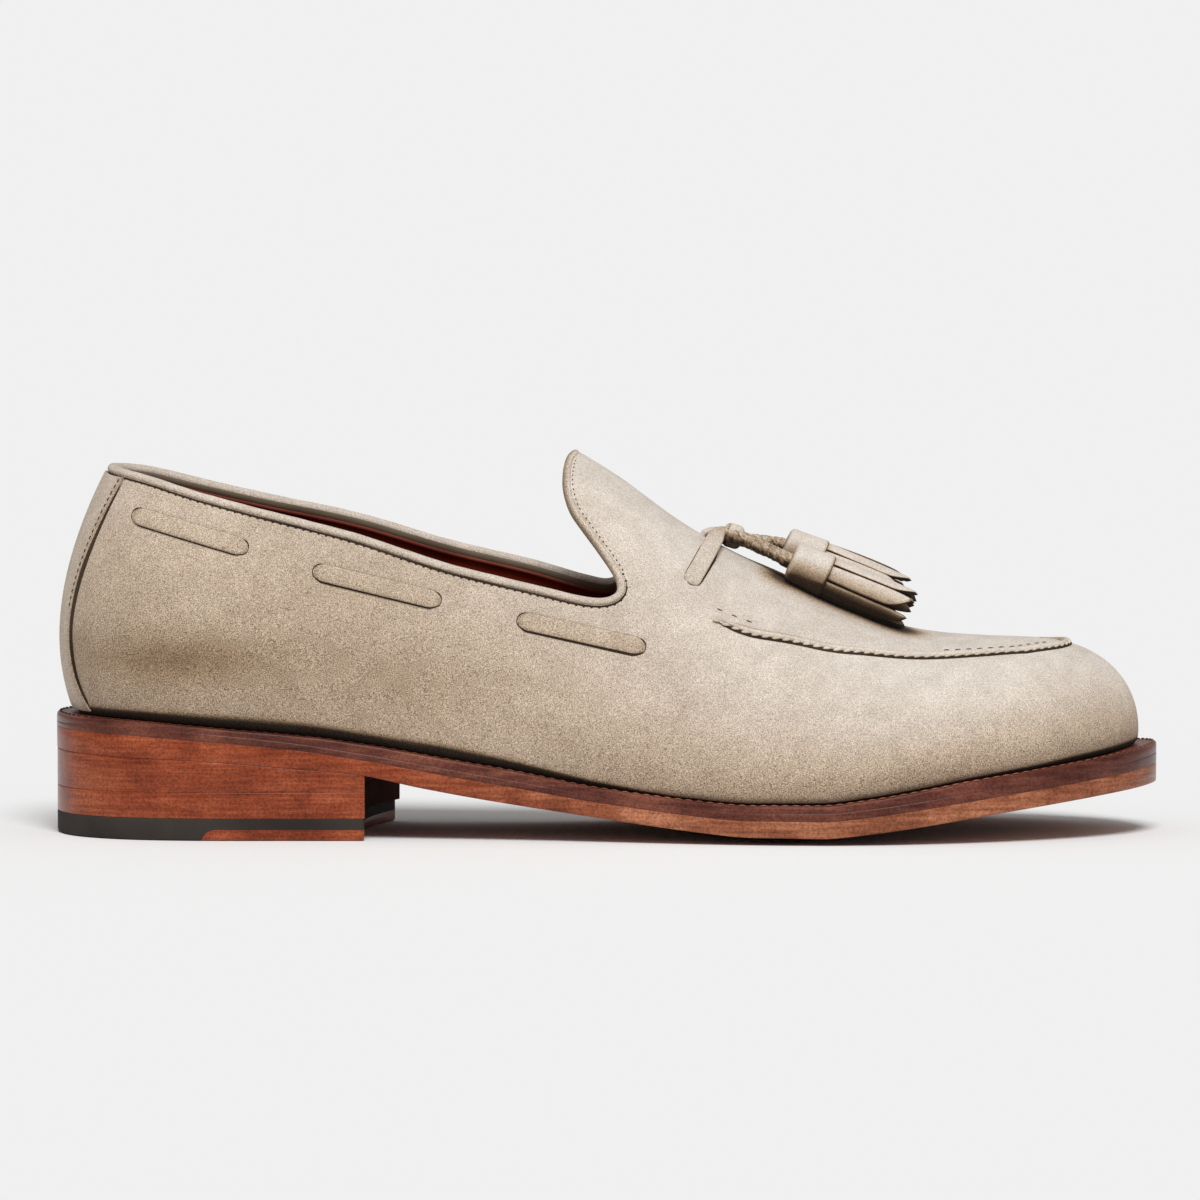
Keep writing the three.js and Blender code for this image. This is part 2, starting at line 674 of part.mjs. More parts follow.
function collarCutter(side, split) {
  const line = collarCurve(side, bindingDiameter + gap + 0.1);
  const end = line[line.length - 1];
  const previous = line[line.length - 4];
  const onward = end.clone().sub(previous).normalize().multiplyScalar(runOut.tongue);
  const far = shoeLength;
  const shape = new THREE.Shape();
  shape.moveTo(-far, line[0].y);
  line.filter((_, i) => i % 2 === 0 || i > 80).forEach((p) => shape.lineTo(p.x, p.y));
  shape.lineTo(end.x + onward.x, end.y + onward.y);
  shape.lineTo(end.x + onward.x, far);
  shape.lineTo(-far, far);
  const block = new THREE.ExtrudeGeometry(shape, { depth: ballWidth, bevelEnabled: false });
  block.rotateX(Math.PI / 2);
  block.translate(0, side < 0 ? split : split + ballWidth, 0);
  return solidOf(block);
}

const tongueAlong = collarLine[collarLine.length - 1].along;
function makeUpper() {
  const split = ridgeY(tongueAlong);
  const shell = lastBody(0, 0).subtract(lastBody(wall, 3 * wall));
  return shell.subtract(collarCutter(-1, split)).subtract(collarCutter(1, split));
}

// Sweeps
// frames: point, across, up. section: list of [across, up] for a frame's share of the length.
function sweep(frames, sectionAt) {
  const rings = frames.map((frame, i) =>
    sectionAt(i / (frames.length - 1)).map(([across, up]) =>
      frame.point.clone().addScaledVector(frame.across, across).addScaledVector(frame.up, up),
    ),
  );
  return loftRings(rings);
}
function framesAlong(points, normals) {
  return points.map((point, i) => {
    const before = points[Math.max(i - 1, 0)];
    const after = points[Math.min(i + 1, points.length - 1)];
    const tangent = after.clone().sub(before).normalize();
    const across = new THREE.Vector3().crossVectors(normals[i], tangent).normalize();
    const up = new THREE.Vector3().crossVectors(tangent, across).normalize();
    return { point, across, up };
  });
}
const roundSection = (diameter, sides) =>
  Array.from({ length: sides }, (_, i) => {
    const angle = ((i + 0.5) / sides) * Math.PI * 2;
    return [(Math.cos(angle) * diameter) / 2, (Math.sin(angle) * diameter) / 2];
  });
// Flat strap with soft edges, lying on its frame's surface.
const strapSection = (width, low, high) => {
  const edge = Math.min(0.45, width * 0.2);
  return [
    [-width / 2, low],
    [width / 2, low],
    [width / 2, high - edge],
    [width / 2 - edge, high],
    [-width / 2 + edge, high],
    [-width / 2, high - edge],
  ];
};

// Binding round the collar: a bead along the collar line, outer side first. It sits over the middle of
// the wall, moved there without coming nearer to the upper's cut edge.
function bindingPath(side) {
  const line = collarCurve(side, bindingDiameter / 2);
  const towards = collarCurve(side, bindingDiameter);
  const kept = line
    .map((p, i) => ({ x: p.x, z: p.y, down: towards[i].clone().sub(p).normalize() }))
    .filter((p) => p.z < crownZ(p.x) - 0.35 && p.x > line[0].x);
  const first = kept.findIndex((p) => findOnLast(side, p.x, p.z).t > 0.004);
  return kept.slice(first).map((p) => {
    const { point, normal } = surfaceFrame(side, p.x, p.z);
    const down = new THREE.Vector3(p.down.x, 0, p.down.y);
    const move = normal.clone().multiplyScalar(-wall / 2);
    move.addScaledVector(down, -Math.max(0, move.dot(down)));
    return { point: point.add(move), normal };
  });
}
function makeBinding() {
  const outer = bindingPath(-1);
  const inner = bindingPath(1).reverse();
  const thin = (list, step) => list.filter((_, i) => i % step === 0);
  const all = [...thin(outer, 3), ...thin(inner, 3)];
  const curve = new THREE.CatmullRomCurve3(
    all.map((entry) => entry.point),
    true,
    "centripetal",
  );
  const steps = 92;
  const points = curve.getSpacedPoints(steps).slice(0, steps);
  const rings = points.map((point, i) => {
    const before = points[(i + steps - 1) % steps];
    const after = points[(i + 1) % steps];
    const tangent = after.clone().sub(before).normalize();
    const side = new THREE.Vector3().crossVectors(tangent, new THREE.Vector3(0.2, 0, 1)).normalize();
    const up = new THREE.Vector3().crossVectors(side, tangent);
    return roundSection(bindingDiameter, 6).map(([across, high]) =>
      point.clone().addScaledVector(side, across).addScaledVector(up, high),
    );
  });
  const count = rings[0].length;
  const positions = rings.flat().map((p) => [p.x, p.y, p.z]);
  const triangles = [];
  for (let k = 0; k < steps; k++) {
    for (let i = 0; i < count; i++) {
      const j = (i + 1) % count;
      const next = ((k + 1) % steps) * count;
      triangles.push([k * count + i, k * count + j, next + j], [k * count + i, next + j, next + i]);
    }
  }
  const solid = toSolid(positions, triangles);
  return solid.volume() < 0 ? toSolid(positions, triangles.map(([a, b, c]) => [a, c, b])) : solid;
}

// A piece lying on the upper, between two offsets: grid is rows of { point, normal }.
function patch(grid, low, high) {
  const rows = grid.length;
  const columns = grid[0].length;
  const positions = [];
  for (const lift of [low, high]) {
    for (const row of grid) {
      for (const { point, normal } of row) {
        const p = point.clone().addScaledVector(normal, lift);
        positions.push([p.x, p.y, p.z]);
      }
    }
  }
  const id = (layer, i, j) => layer * rows * columns + i * columns + j;
  const triangles = [];
  const quad = (a, b, c, d) => triangles.push([a, b, c], [a, c, d]);
  for (let i = 0; i + 1 < rows; i++) {
    for (let j = 0; j + 1 < columns; j++) {
      quad(id(1, i, j), id(1, i, j + 1), id(1, i + 1, j + 1), id(1, i + 1, j));
      quad(id(0, i, j), id(0, i + 1, j), id(0, i + 1, j + 1), id(0, i, j + 1));
    }
  }
  for (let i = 0; i + 1 < rows; i++) {
    quad(id(0, i, 0), id(1, i, 0), id(1, i + 1, 0), id(0, i + 1, 0));
    quad(id(0, i + 1, columns - 1), id(1, i + 1, columns - 1), id(1, i, columns - 1), id(0, i, columns - 1));
  }
  for (let j = 0; j + 1 < columns; j++) {
    quad(id(0, 0, j + 1), id(1, 0, j + 1), id(1, 0, j), id(0, 0, j));
    quad(id(0, rows - 1, j), id(1, rows - 1, j), id(1, rows - 1, j + 1), id(0, rows - 1, j + 1));
  }
  const solid = toSolid(positions, triangles);
  return solid.volume() < 0 ? toSolid(positions, triangles.map(([a, b, c]) => [a, c, b])) : solid;
}

function makeBackStrip() {
  const reachAt = smoothColumn(backStrip, "reach", "rise");
  const topRise = collarLine[0].rise - (bindingDiameter + 3 * gap) / instepRise;
  const rows = 12;
  const columns = 8;
  const grid = [];
  for (let i = 0; i <= rows; i++) {
    const rise = 0.012 + (topRise - 0.012) * (i / rows);
    const z = weltTop(xOf(0.04)) + gap + rise * instepRise;
    const sOn = (side, t) => bisect(0, 1, (s) => lastPoint(side, t, s).z < z);
    const backX = lastPoint(-1, 0, sOn(-1, 0)).x;
    const edgeX = backX + reachAt(rise) * shoeLength;
    const edge = (side) => bisect(0, heelFanShare, (t) => lastPoint(side, t, sOn(side, t)).x < edgeX);
    const row = [];
    for (let j = 0; j <= columns; j++) {
      const f = (2 * j) / columns - 1;
      const side = f < 0 ? -1 : 1;
      const t = edge(side) * Math.abs(f);
      const s = sOn(side, t);
      row.push({ point: lastPoint(side, t, s), normal: lastNormal(side, Math.max(t, 0.004), s) });
    }
    grid.push(row);
  }
  return patch(grid, gap, gap + backStripThickness);
}

// The apron's seam: a low ridge on the vamp, once round the toe.
function makeSeam() {
  const rows = seamLine.map((row) => ({
    t: row.fan ? toeFanShare + (1 - toeFanShare) * row.fan : stationOfAlong(row.along),
    level: row.level,
  }));
  const level = smoothColumn(rows, "level", "t");
  const steps = 34;
  const half = (side) =>
    Array.from({ length: steps + 1 }, (_, i) => {
      const t = rows[0].t + (1 - rows[0].t) * (i / steps);
      const s = levelToS(side, t, level(t));
      return { point: lastPoint(side, t, s), normal: lastNormal(side, Math.min(t, 0.998), s) };
    });
  const all = [...half(-1), ...half(1).reverse().slice(1)];
  const frames = framesAlong(
    all.map((entry) => entry.point),
    all.map((entry) => entry.normal),
  );
  return sweep(frames, (f) => {
    const taper = Math.min(1, 0.45 + 14 * Math.min(f, 1 - f));
    const w = (seamWidth / 2) * taper;
    const h = seamHeight * taper;
    return [
      [-w, gap],
      [w, gap],
      [w * 0.6, gap + h],
      [-w * 0.6, gap + h],
    ];
  });
}

// Lace
function surfaceRun(side, from, to, steps) {
  return Array.from({ length: steps + 1 }, (_, i) => {
    const f = i / steps;
    const x = from.x + (to.x - from.x) * f;
    const z = from.z + (to.z - from.z) * f;
    return surfaceFrame(side, x, z);
  });
}
const sidePoint = (along, rise) => ({ x: xOf(along), z: weltTop(xOf(along)) + rise * instepRise });

function makeLaceBar(side, bar) {
  const run = surfaceRun(side, sidePoint(bar.fromAlong, bar.fromRise), sidePoint(bar.toAlong, bar.toRise), 10);
  const frames = framesAlong(
    run.map((entry) => entry.point),
    run.map((entry) => entry.normal),
  );
  return sweep(frames, (f) => {
    const end = Math.min(1, (Math.min(f, 1 - f) * 2) / 0.2);
    const round = Math.sqrt(Math.max(0.1, 1 - (1 - end) ** 2));
    return strapSection(laceWidth * round, gap, gap + laceThickness * (0.55 + 0.45 * round));
  });
}

// The lace's front run rises off the upper into the knot.
const knotAlong = 0.6145;
const knotCentre = new THREE.Vector3(
  xOf(knotAlong),
  ridgeY(knotAlong),
  crownZ(xOf(knotAlong)) + gap + knotDiameter / 2 + 0.9,
);
const knotAxis = new THREE.Vector3(1, 0, -0.32).normalize();

function makeFrontRun(side) {
  const top = xOf(frontRun.topAlong);
  const from = sidePoint(frontRun.slotAlong, frontRun.slotRise);
  const to = { x: top, z: crownZ(top) - 1.1 };
  const run = surfaceRun(side, from, to, 9);
  const frames = framesAlong(
    run.map((entry) => entry.point),
    run.map((entry) => entry.normal),
  );
  return sweep(frames, (f) => {
    const end = Math.min(1, f / 0.16);
    const round = Math.sqrt(Math.max(0.12, 1 - (1 - end) ** 2));
    const lift = gap + 0.9 * Math.max(0, f - 0.5);
    return strapSection(laceWidth * round, lift, lift + laceThickness);
  });
}

function makeKnot() {
  const steps = 4;
  const points = Array.from({ length: steps + 1 }, (_, i) =>
    knotCentre.clone().addScaledVector(knotAxis, (i / steps - 0.5) * knotLength),
  );
  const frames = framesAlong(
    points,
    points.map(() => new THREE.Vector3(0, 0, 1)),
  );
  return sweep(frames, (f) => roundSection(knotDiameter * (0.8 + 0.8 * f * (1 - f)), 10));
}

// Tassels: each lies on the vamp with its axis down the slope.
const tasselAlong = 0.669; // where the heads start
const tassels = [
  { name: "outer", across: -9.2, lift: -0.4, x: 0 },
  { name: "inner", across: 3.4, lift: 1.4, x: -2 },
];
const tasselRadius = tasselHeadDiameter / 2;
const tasselAxis = new THREE.Vector3(1, 0, -0.4).normalize();
function tasselTop(tassel) {
  const x = xOf(tasselAlong) + tassel.x;
  return new THREE.Vector3(x, ridgeY(tasselAlong) + tassel.across, crownZ(x) + tasselRadius + gap + tassel.lift);
}

function makeTasselCord(tassel) {
  const from = knotCentre.clone().addScaledVector(knotAxis, knotLength / 2 + 2 * gap);
  from.y += Math.sign(tassel.across) * (tasselCordDiameter / 2 + gap);
  const to = tasselTop(tassel).addScaledVector(tasselAxis, -2 * gap);
  const route = new THREE.CubicBezierCurve3(
    from,
    from.clone().addScaledVector(knotAxis, tasselCordDiameter),
    to.clone().addScaledVector(tasselAxis, -tasselCordDiameter),
    to,
  );
  const section = roundSection(tasselCordDiameter, 8).map(([x, y]) => new THREE.Vector2(x, y));
  const tube = new THREE.ExtrudeGeometry(new THREE.Shape(section), {
    steps: 6,
    bevelEnabled: false,
    extrudePath: route,
  });
  return solidOf(tube);
}

// One strip of the fringe, bent outwards, with a slanting tip; made along +X and turned about it.
const stripRows = [
  { reach: 0.0, lift: -0.12, width: 0.9 },
  { reach: 0.4, lift: 0.02, width: 1 },
  { reach: 0.82, lift: 0.12, width: 1 },
  { reach: 1.0, lift: 0.1, width: 0.12 },
];
function fringeStrip(radius, width, length, angle) {
  const rings = stripRows.map((row) => {
    const w = (width * row.width) / 2;
    const low = radius * (1 + row.lift) - tasselStripThickness;
    const high = low + tasselStripThickness;
    const x = row.reach * length;
    return [
      [x, -w, low],
      [x, w, low],
      [x, w, high],
      [x, -w, high],
    ].map(([a, b, c]) => new THREE.Vector3(a, b, c).applyAxisAngle(new THREE.Vector3(1, 0, 0), angle));
  });
  return loftRings(rings);
}

const outerStrips = 6;
const innerStrips = 5;
function makeTassel(tassel) {
  const headProfile = [
    [0, 0],
    [0.86, 0],
    [1, 0.08],
    [1.02, 0.5],
    [1, 0.94],
    [0.93, 1],
    [0, 1],
  ].map(([r, h]) => new THREE.Vector2(r * tasselRadius, h * tasselHeadLength));
  const head = new THREE.LatheGeometry(headProfile, 14);
  head.rotateZ(-Math.PI / 2);
  let solid = solidOf(head);
  const strip = (count, radius, length, phase) => {
    for (let i = 0; i < count; i++) {
      const width = ((2 * Math.PI * radius) / count) * 0.9;
      const slip = ((i * 5) % 3) * 0.7;
      const one = fringeStrip(radius, width, length - slip, ((i + phase) / count) * Math.PI * 2);
      solid = solid.add(one.translate([tasselHeadLength - 1, 0, 0]));
    }
  };
  strip(outerStrips, tasselRadius * 0.9, tasselFringeLength + 1, 0);
  strip(innerStrips, tasselRadius * 0.48, tasselFringeLength - 0.5, 0.5);
  return solid;
}

// Assembly
const loafer = new THREE.Group();
loafer.name = "tassel_loafer";
function add(name, solid, tint, roughness = 0.8, parent = loafer) {
  const material = new THREE.MeshStandardMaterial({ color: tint, roughness, metalness: 0 });
  const mesh = new THREE.Mesh(geometryOf(solid), material);
  mesh.name = name;
  parent.add(mesh);
  return mesh;
}

add("outsole", makeOutsole(), colour.soleEdge, 0.55);
add("midsole", makeMidsole(), colour.weltEdge, 0.55);
add("welt", makeWelt(), colour.weltEdge, 0.55);
const upperLift = heelPlate(flat(lowerLiftTop + gap), (x) => treadZ(x) - gap, heelInset);
add("heel_lift_upper", upperLift, colour.heelEdge, 0.5);
add("heel_lift_lower", heelPlate(flat(lowerLiftBottom), flat(lowerLiftTop), heelInset), colour.heelEdge, 0.5);
add("heel_rubber", makeHeelRubber(), colour.rubber, 0.75);
add("heel_tip", makeHeelTip(), colour.heelEdge, 0.6);
add("insole", makeInsole(), colour.lining, 0.7);
add("upper", makeUpper(), colour.suede, 0.95);
add("topline_binding", makeBinding(), colour.suede, 0.95);
add("back_strip", makeBackStrip(), colour.suede, 0.95);
add("apron_seam", makeSeam(), colour.suede, 0.95);
for (const [side, where] of [
  [-1, "outer"],
  [1, "inner"],
]) {
  for (const bar of laceBars) {
    add(`lace_${bar.name}_${where}`, makeLaceBar(side, bar), colour.suede, 0.95);
  }
  add(`lace_end_${where}`, makeFrontRun(side), colour.suede, 0.95);
}
add("lace_knot", makeKnot(), colour.suede, 0.95);
for (const tassel of tassels) {
  add(`tassel_cord_${tassel.name}`, makeTasselCord(tassel), colour.suede, 0.95);
  const holder = new THREE.Group();
  holder.position.copy(tasselTop(tassel));
  holder.quaternion.setFromUnitVectors(new THREE.Vector3(1, 0, 0), tasselAxis);
  loafer.add(holder);
  add(`tassel_${tassel.name}`, makeTassel(tassel), colour.suede, 0.95, holder);
}

export default loafer;
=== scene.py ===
import math
import random

import bpy
import numpy as np
from mathutils import Matrix, Vector


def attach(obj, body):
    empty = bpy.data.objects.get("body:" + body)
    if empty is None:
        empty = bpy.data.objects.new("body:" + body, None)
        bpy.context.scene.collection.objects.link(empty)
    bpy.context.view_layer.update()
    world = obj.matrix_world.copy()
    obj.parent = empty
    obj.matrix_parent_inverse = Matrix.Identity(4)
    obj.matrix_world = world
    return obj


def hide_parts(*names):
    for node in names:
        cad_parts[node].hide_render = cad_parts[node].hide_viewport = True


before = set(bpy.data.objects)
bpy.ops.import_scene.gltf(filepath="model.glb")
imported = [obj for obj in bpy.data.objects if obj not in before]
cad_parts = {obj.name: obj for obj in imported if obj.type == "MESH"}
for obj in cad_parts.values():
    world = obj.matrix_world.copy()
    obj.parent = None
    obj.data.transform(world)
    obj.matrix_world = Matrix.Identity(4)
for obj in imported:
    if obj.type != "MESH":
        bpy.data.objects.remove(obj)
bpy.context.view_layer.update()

# Lengths below are millimetres, turned into metres as each mesh is made.
mm = 0.001
random.seed(7)

# Camera

cameraView = {
    "aim": (-1.9, 0, 62.9), "distance": 3000, "height": 252, "frameWidth": 327.3, "sensor": 36, "clipEnd": 2000,
}


def makeCamera(look):
    aim = Vector(look["aim"]) * mm
    place = Vector((look["aim"][0], -look["distance"], look["height"])) * mm
    bpy.ops.object.camera_add(location=place)
    camera = bpy.context.object
    camera.rotation_euler = (aim - place).to_track_quat("-Z", "Y").to_euler()
    camera.data.sensor_width = look["sensor"]
    camera.data.lens = look["sensor"] * (aim - place).length / (look["frameWidth"] * mm)
    camera.data.clip_end = look["clipEnd"]
    bpy.context.scene.camera = camera


makeCamera(cameraView)
print("camera placed")

# Shape of the last and the sole, as in the part's source

shoeLength = 300
ballWidth = 106.4
heelLift = 22.2
toeSpring = 13.6
crownRise = 1.9
outsoleThickness = 4.4
midsoleThickness = 2.3
weltThickness = 3
instepRise = 88.2
wall = 2
gap = 0.3
tuck = 0.7
tuckHeight = 2
bulgeSize = 4.6
heelFanCentre = 0.113
toeFanCentre = 0.875
heelFanShare = 0.22
toeFanShare = 0.8
shoeSides = (("outer", -1), ("inner", 1))

soleOutline = [  # along, across
    (0.0, 0.0), (0.018, -0.175), (0.062, -0.282), (0.125, -0.326), (0.22, -0.33), (0.33, -0.335),
    (0.44, -0.366), (0.54, -0.425), (0.63, -0.471), (0.71, -0.486), (0.79, -0.464), (0.87, -0.395),
    (0.935, -0.286), (0.98, -0.15), (1.0, 0.02), (0.985, 0.17), (0.945, 0.306), (0.885, 0.413),
    (0.81, 0.486), (0.735, 0.514), (0.66, 0.486), (0.58, 0.402), (0.5, 0.322), (0.42, 0.29),
    (0.33, 0.298), (0.22, 0.322), (0.125, 0.324), (0.062, 0.282), (0.018, 0.175),
]
soleLine = [  # along, pitch, spring, crown, outsole, midsole
    (0.0, 1.04, 0, 0, 1.34, 0.4), (0.057, 1.01, 0, 0, 1.34, 0.87), (0.13, 0.973, 0, 0, 1.18, 0.82),
    (0.22, 0.874, 0, 0, 1.12, 0.65), (0.28, 0.797, 0, 0, 0.9, 0.6), (0.33, 0.653, 0, 0, 1.0, 0.65),
    (0.4, 0.482, 0, 0.05, 1.02, 0.65), (0.49, 0.275, 0, 0.42, 0.9, 0.62), (0.58, 0.077, 0, 0.9, 0.93, 0.74),
    (0.635, 0, 0, 1.1, 0.98, 0.77), (0.69, 0, 0, 1.0, 1.0, 0.8), (0.735, 0, 0.1, 0.9, 1.0, 0.82),
    (0.77, 0, 0.213, 0.82, 1.0, 0.82), (0.86, 0, 0.551, 0.53, 1.0, 0.82), (0.95, 0, 0.853, 0.2, 1.02, 0.9),
    (1.0, 0, 1.0, 0, 1.11, 1.08),
]
lastSections = [  # along, rise, wallPower, crownPower, bulge, archBulge, ridge
    (0.113, 0.968, 2.0, 2.0, 1.06, 0, 0), (0.22, 1.051, 2.0, 2.0, 0.87, 0.25, 0.006),
    (0.333, 1.112, 1.86, 2.0, 0.7, 0.7, 0.014), (0.4, 1.084, 1.76, 2.0, 0.65, 0.85, 0.02),
    (0.471, 0.989, 1.66, 2.0, 0.6, 0.75, 0.026), (0.512, 0.922, 1.62, 2.0, 0.58, 0.6, 0.03),
    (0.566, 0.808, 1.6, 2.0, 0.55, 0.35, 0.034), (0.612, 0.731, 1.62, 2.0, 0.5, 0.15, 0.037),
    (0.666, 0.651, 1.7, 2.03, 0.45, 0, 0.039), (0.721, 0.553, 1.82, 2.1, 0.4, 0, 0.039),
    (0.766, 0.474, 1.97, 2.2, 0.33, 0, 0.038), (0.803, 0.432, 2.13, 2.3, 0.26, 0, 0.035),
    (0.839, 0.404, 2.3, 2.4, 0.18, 0, 0.031), (0.875, 0.382, 2.45, 2.45, 0.12, 0, 0.028),
]
collarLine = [  # along, rise, innerRise
    (0.035, 0.77, 0), (0.0437, 0.76, 0), (0.0847, 0.736, 0.006), (0.1327, 0.701, 0.0125),
    (0.1887, 0.67, 0.017), (0.274, 0.637, 0.028), (0.356, 0.595, 0.036), (0.4347, 0.575, 0.0385),
    (0.484, 0.565, 0.028), (0.5017, 0.5726, 0.017), (0.5087, 0.587, 0.015), (0.5107, 0.605, 0.013),
    (0.5053, 0.645, 0.012), (0.4843, 0.739, 0.009), (0.4677, 0.808, 0.006), (0.4623, 0.859, 0.003),
    (0.461, 0.901, 0), (0.4623, 0.945, 0), (0.4653, 0.976, 0), (0.4707, 0.99, 0),
]
weltDrop = [  # along, how far the welt's finished edge lies below the full thickness
    (0, 0.6), (0.06, 1.5), (0.13, 1.5), (0.21, 1.1), (0.26, 0.6), (0.4, 0.5), (0.5, 1.0), (0.65, 1.2), (0.72, 0.9),
    (0.79, 0.3), (0.83, 0), (1, 0),
]
weltShows = [(0, 5.1), (0.08, 3.7), (0.3, 3.0), (0.5, 3.0), (0.8, 4.467), (1, 5.2)]  # along, shows
seamLine = [  # along, fan, level
    (0.598, 0, 0.722), (0.625, 0, 0.722), (0.662, 0, 0.743), (0.71, 0, 0.786), (0.759, 0, 0.843),
    (0.792, 0, 0.871), (0.83, 0, 0.9), (0.875, 0.02, 0.929), (0.875, 0.5, 0.945), (0.875, 1, 0.962),
]
backStripEdge = [  # rise, reach
    (0.0, 0.019), (0.12, 0.0125), (0.25, 0.0105), (0.4, 0.0125), (0.56, 0.016), (0.73, 0.0195),
]
laceBars = {  # from along, from rise, to along, to rise
    "rear": (0.0717, 0.613, 0.1773, 0.541),
    "middle": (0.2353, 0.501, 0.351, 0.473),
    "front": (0.419, 0.458, 0.5347, 0.431),
}


def smoothColumn(rows, column):
    x = np.array([row[0] for row in rows], float)
    y = np.array([row[column] for row in rows], float)
    slope = np.zeros(len(x))
    for i in range(len(x)):
        a, b = max(0, i - 1), min(len(x) - 1, i + 1)
        turns = a < i < b and (y[i] - y[a]) * (y[b] - y[i]) <= 0
        slope[i] = 0 if turns else (y[b] - y[a]) / (x[b] - x[a])

    def at(value):
        v = np.clip(value, x[0], x[-1])
        i = np.clip(np.searchsorted(x, v, side="right") - 1, 0, len(x) - 2)
        h = x[i + 1] - x[i]
        f = (v - x[i]) / h
        f2, f3 = f * f, f * f * f
        return (
            (2 * f3 - 3 * f2 + 1) * y[i] + (f3 - 2 * f2 + f) * h * slope[i]
            + (3 * f2 - 2 * f3) * y[i + 1] + (f3 - f2) * h * slope[i + 1]
        )

    return at


def splineThrough(points, count, closed):
    p = np.array(points, float)
    if closed:
        p = np.vstack([p[-1], p, p[0], p[1]])
    else:
        p = np.vstack([2 * p[0] - p[1], p, 2 * p[-1] - p[-2]])
    spans = len(p) - 3
    made = []
    for k in range(count):
        at = k / (count if closed else count - 1) * spans
        i = min(int(at), spans - 1)
        w = at - i
        p0, p1, p2, p3 = p[i], p[i + 1], p[i + 2], p[i + 3]
        d0, d1, d2 = (math.sqrt(np.linalg.norm(q - r)) for q, r in ((p1, p0), (p2, p1), (p3, p2)))
        m1 = ((p1 - p0) / d0 - (p2 - p0) / (d0 + d1) + (p2 - p1) / d1) * d1
        m2 = ((p2 - p1) / d1 - (p3 - p1) / (d1 + d2) + (p3 - p2) / d2) * d1
        c2 = -3 * p1 + 3 * p2 - 2 * m1 - m2
        c3 = 2 * p1 - 2 * p2 + m1 + m2
        made.append(p1 + m1 * w + c2 * w * w + c3 * w * w * w)
    return np.array(made)


def spaced(points, count, closed=False):
    p = np.array(points, float)
    if closed:
        p = np.vstack([p, p[:1]])
    run = np.concatenate([[0], np.cumsum(np.linalg.norm(np.diff(p, axis=0), axis=1))])
    at = np.linspace(0, run[-1], count + 1)[:-1] if closed else np.linspace(0, run[-1], count)
    return np.column_stack([np.interp(at, run, p[:, i]) for i in range(p.shape[1])])


def lengthOf(points):
    return float(np.linalg.norm(np.diff(np.array(points), axis=0), axis=1).sum())


def unit(v):
    return v / np.maximum(np.linalg.norm(v, axis=-1, keepdims=True), 1e-9)


def alongOf(x):
    return x / shoeLength + 0.5


def xOf(along):
    return (along - 0.5) * shoeLength


def xAt(along):
    return float(xOf(along))


pitchAt, springAt, crownAt, outsoleAt, midsoleAt = (smoothColumn(soleLine, i) for i in range(1, 6))
riseAt, wallPowerAt, crownPowerAt, bulgeAt, archBulgeAt, ridgeAt = (
    smoothColumn(lastSections, i) for i in range(1, 7)
)
weltShowsAt, weltDropAt = smoothColumn(weltShows, 1), smoothColumn(weltDrop, 1)

outline = splineThrough([(xOf(a), b * ballWidth) for a, b in soleOutline], 480, True)
centreY = (outline[:, 1].min() + outline[:, 1].max()) / 2
outline = outline - [(outline[:, 0].min() + outline[:, 0].max()) / 2, centreY]


def treadZ(x):
    return heelLift * pitchAt(alongOf(x)) + toeSpring * springAt(alongOf(x))


def edgeZ(x):
    return treadZ(x) + crownRise * crownAt(alongOf(x))


def outsoleTop(x):
    return edgeZ(x) + outsoleThickness * outsoleAt(alongOf(x))


def midsoleTop(x):
    return outsoleTop(x) + gap + midsoleThickness * midsoleAt(alongOf(x))


def weltTop(x):
    return midsoleTop(x) + gap + weltThickness


def weltEdge(x):
    return weltTop(x) - weltDropAt(alongOf(x))


def ridgeY(along):
    return ridgeAt(along) * ballWidth - centreY


def crownZ(x):
    return weltTop(x) + riseAt(alongOf(x)) * instepRise


def riseZ(x, rise):
    return float(weltTop(x)) + rise * instepRise


# Which side the share u of the way round is on, and how far it is from the heel's middle to the toe's.
def halfOf(u):
    return np.where(u < 0.5, -1, 1), np.clip(np.where(u < 0.5, 2 * u, 2 - 2 * u), 0, 1)


# Share of the way from heel to toe for a section that lies between the two fans.
def tOf(along):
    return heelFanShare + (along - heelFanCentre) / (toeFanCentre - heelFanCentre) * (toeFanShare - heelFanShare)


# Where a section stands, and which way it goes from there: sections fan out round the heel and the toe.
def station(side, t):
    heel, toe = t < heelFanShare, t > toeFanShare
    fan = np.where(heel, t / heelFanShare, np.where(toe, (t - toeFanShare) / (1 - toeFanShare), 0))
    angle = fan * math.pi / 2
    f = np.clip((t - heelFanShare) / (toeFanShare - heelFanShare), 0, 1)
    along = heelFanCentre + (toeFanCentre - heelFanCentre) * f
    dx = np.where(heel, -np.cos(angle), np.where(toe, np.sin(angle), 0))
    dy = side * np.where(heel, np.sin(angle), np.where(toe, np.cos(angle), 1))
    return xOf(along), ridgeY(along), dx, dy, along


def rayToOutline(x, y, dx, dy):
    a = outline
    e = np.roll(outline, -1, axis=0) - a
    det = dx * e[:, 1] - dy * e[:, 0]
    det[np.abs(det) < 1e-12] = 1e-12
    reach = ((a[:, 0] - x) * e[:, 1] - (a[:, 1] - y) * e[:, 0]) / det
    share = ((a[:, 0] - x) * dy - (a[:, 1] - y) * dx) / det
    return reach[(share >= -1e-9) & (share <= 1 + 1e-9)].max()


reachSteps = np.linspace(0, 1, 401)
reachTable = {
    side: np.array([rayToOutline(*ray) for ray in zip(*station(side, reachSteps)[:4])]) for name, side in shoeSides
}


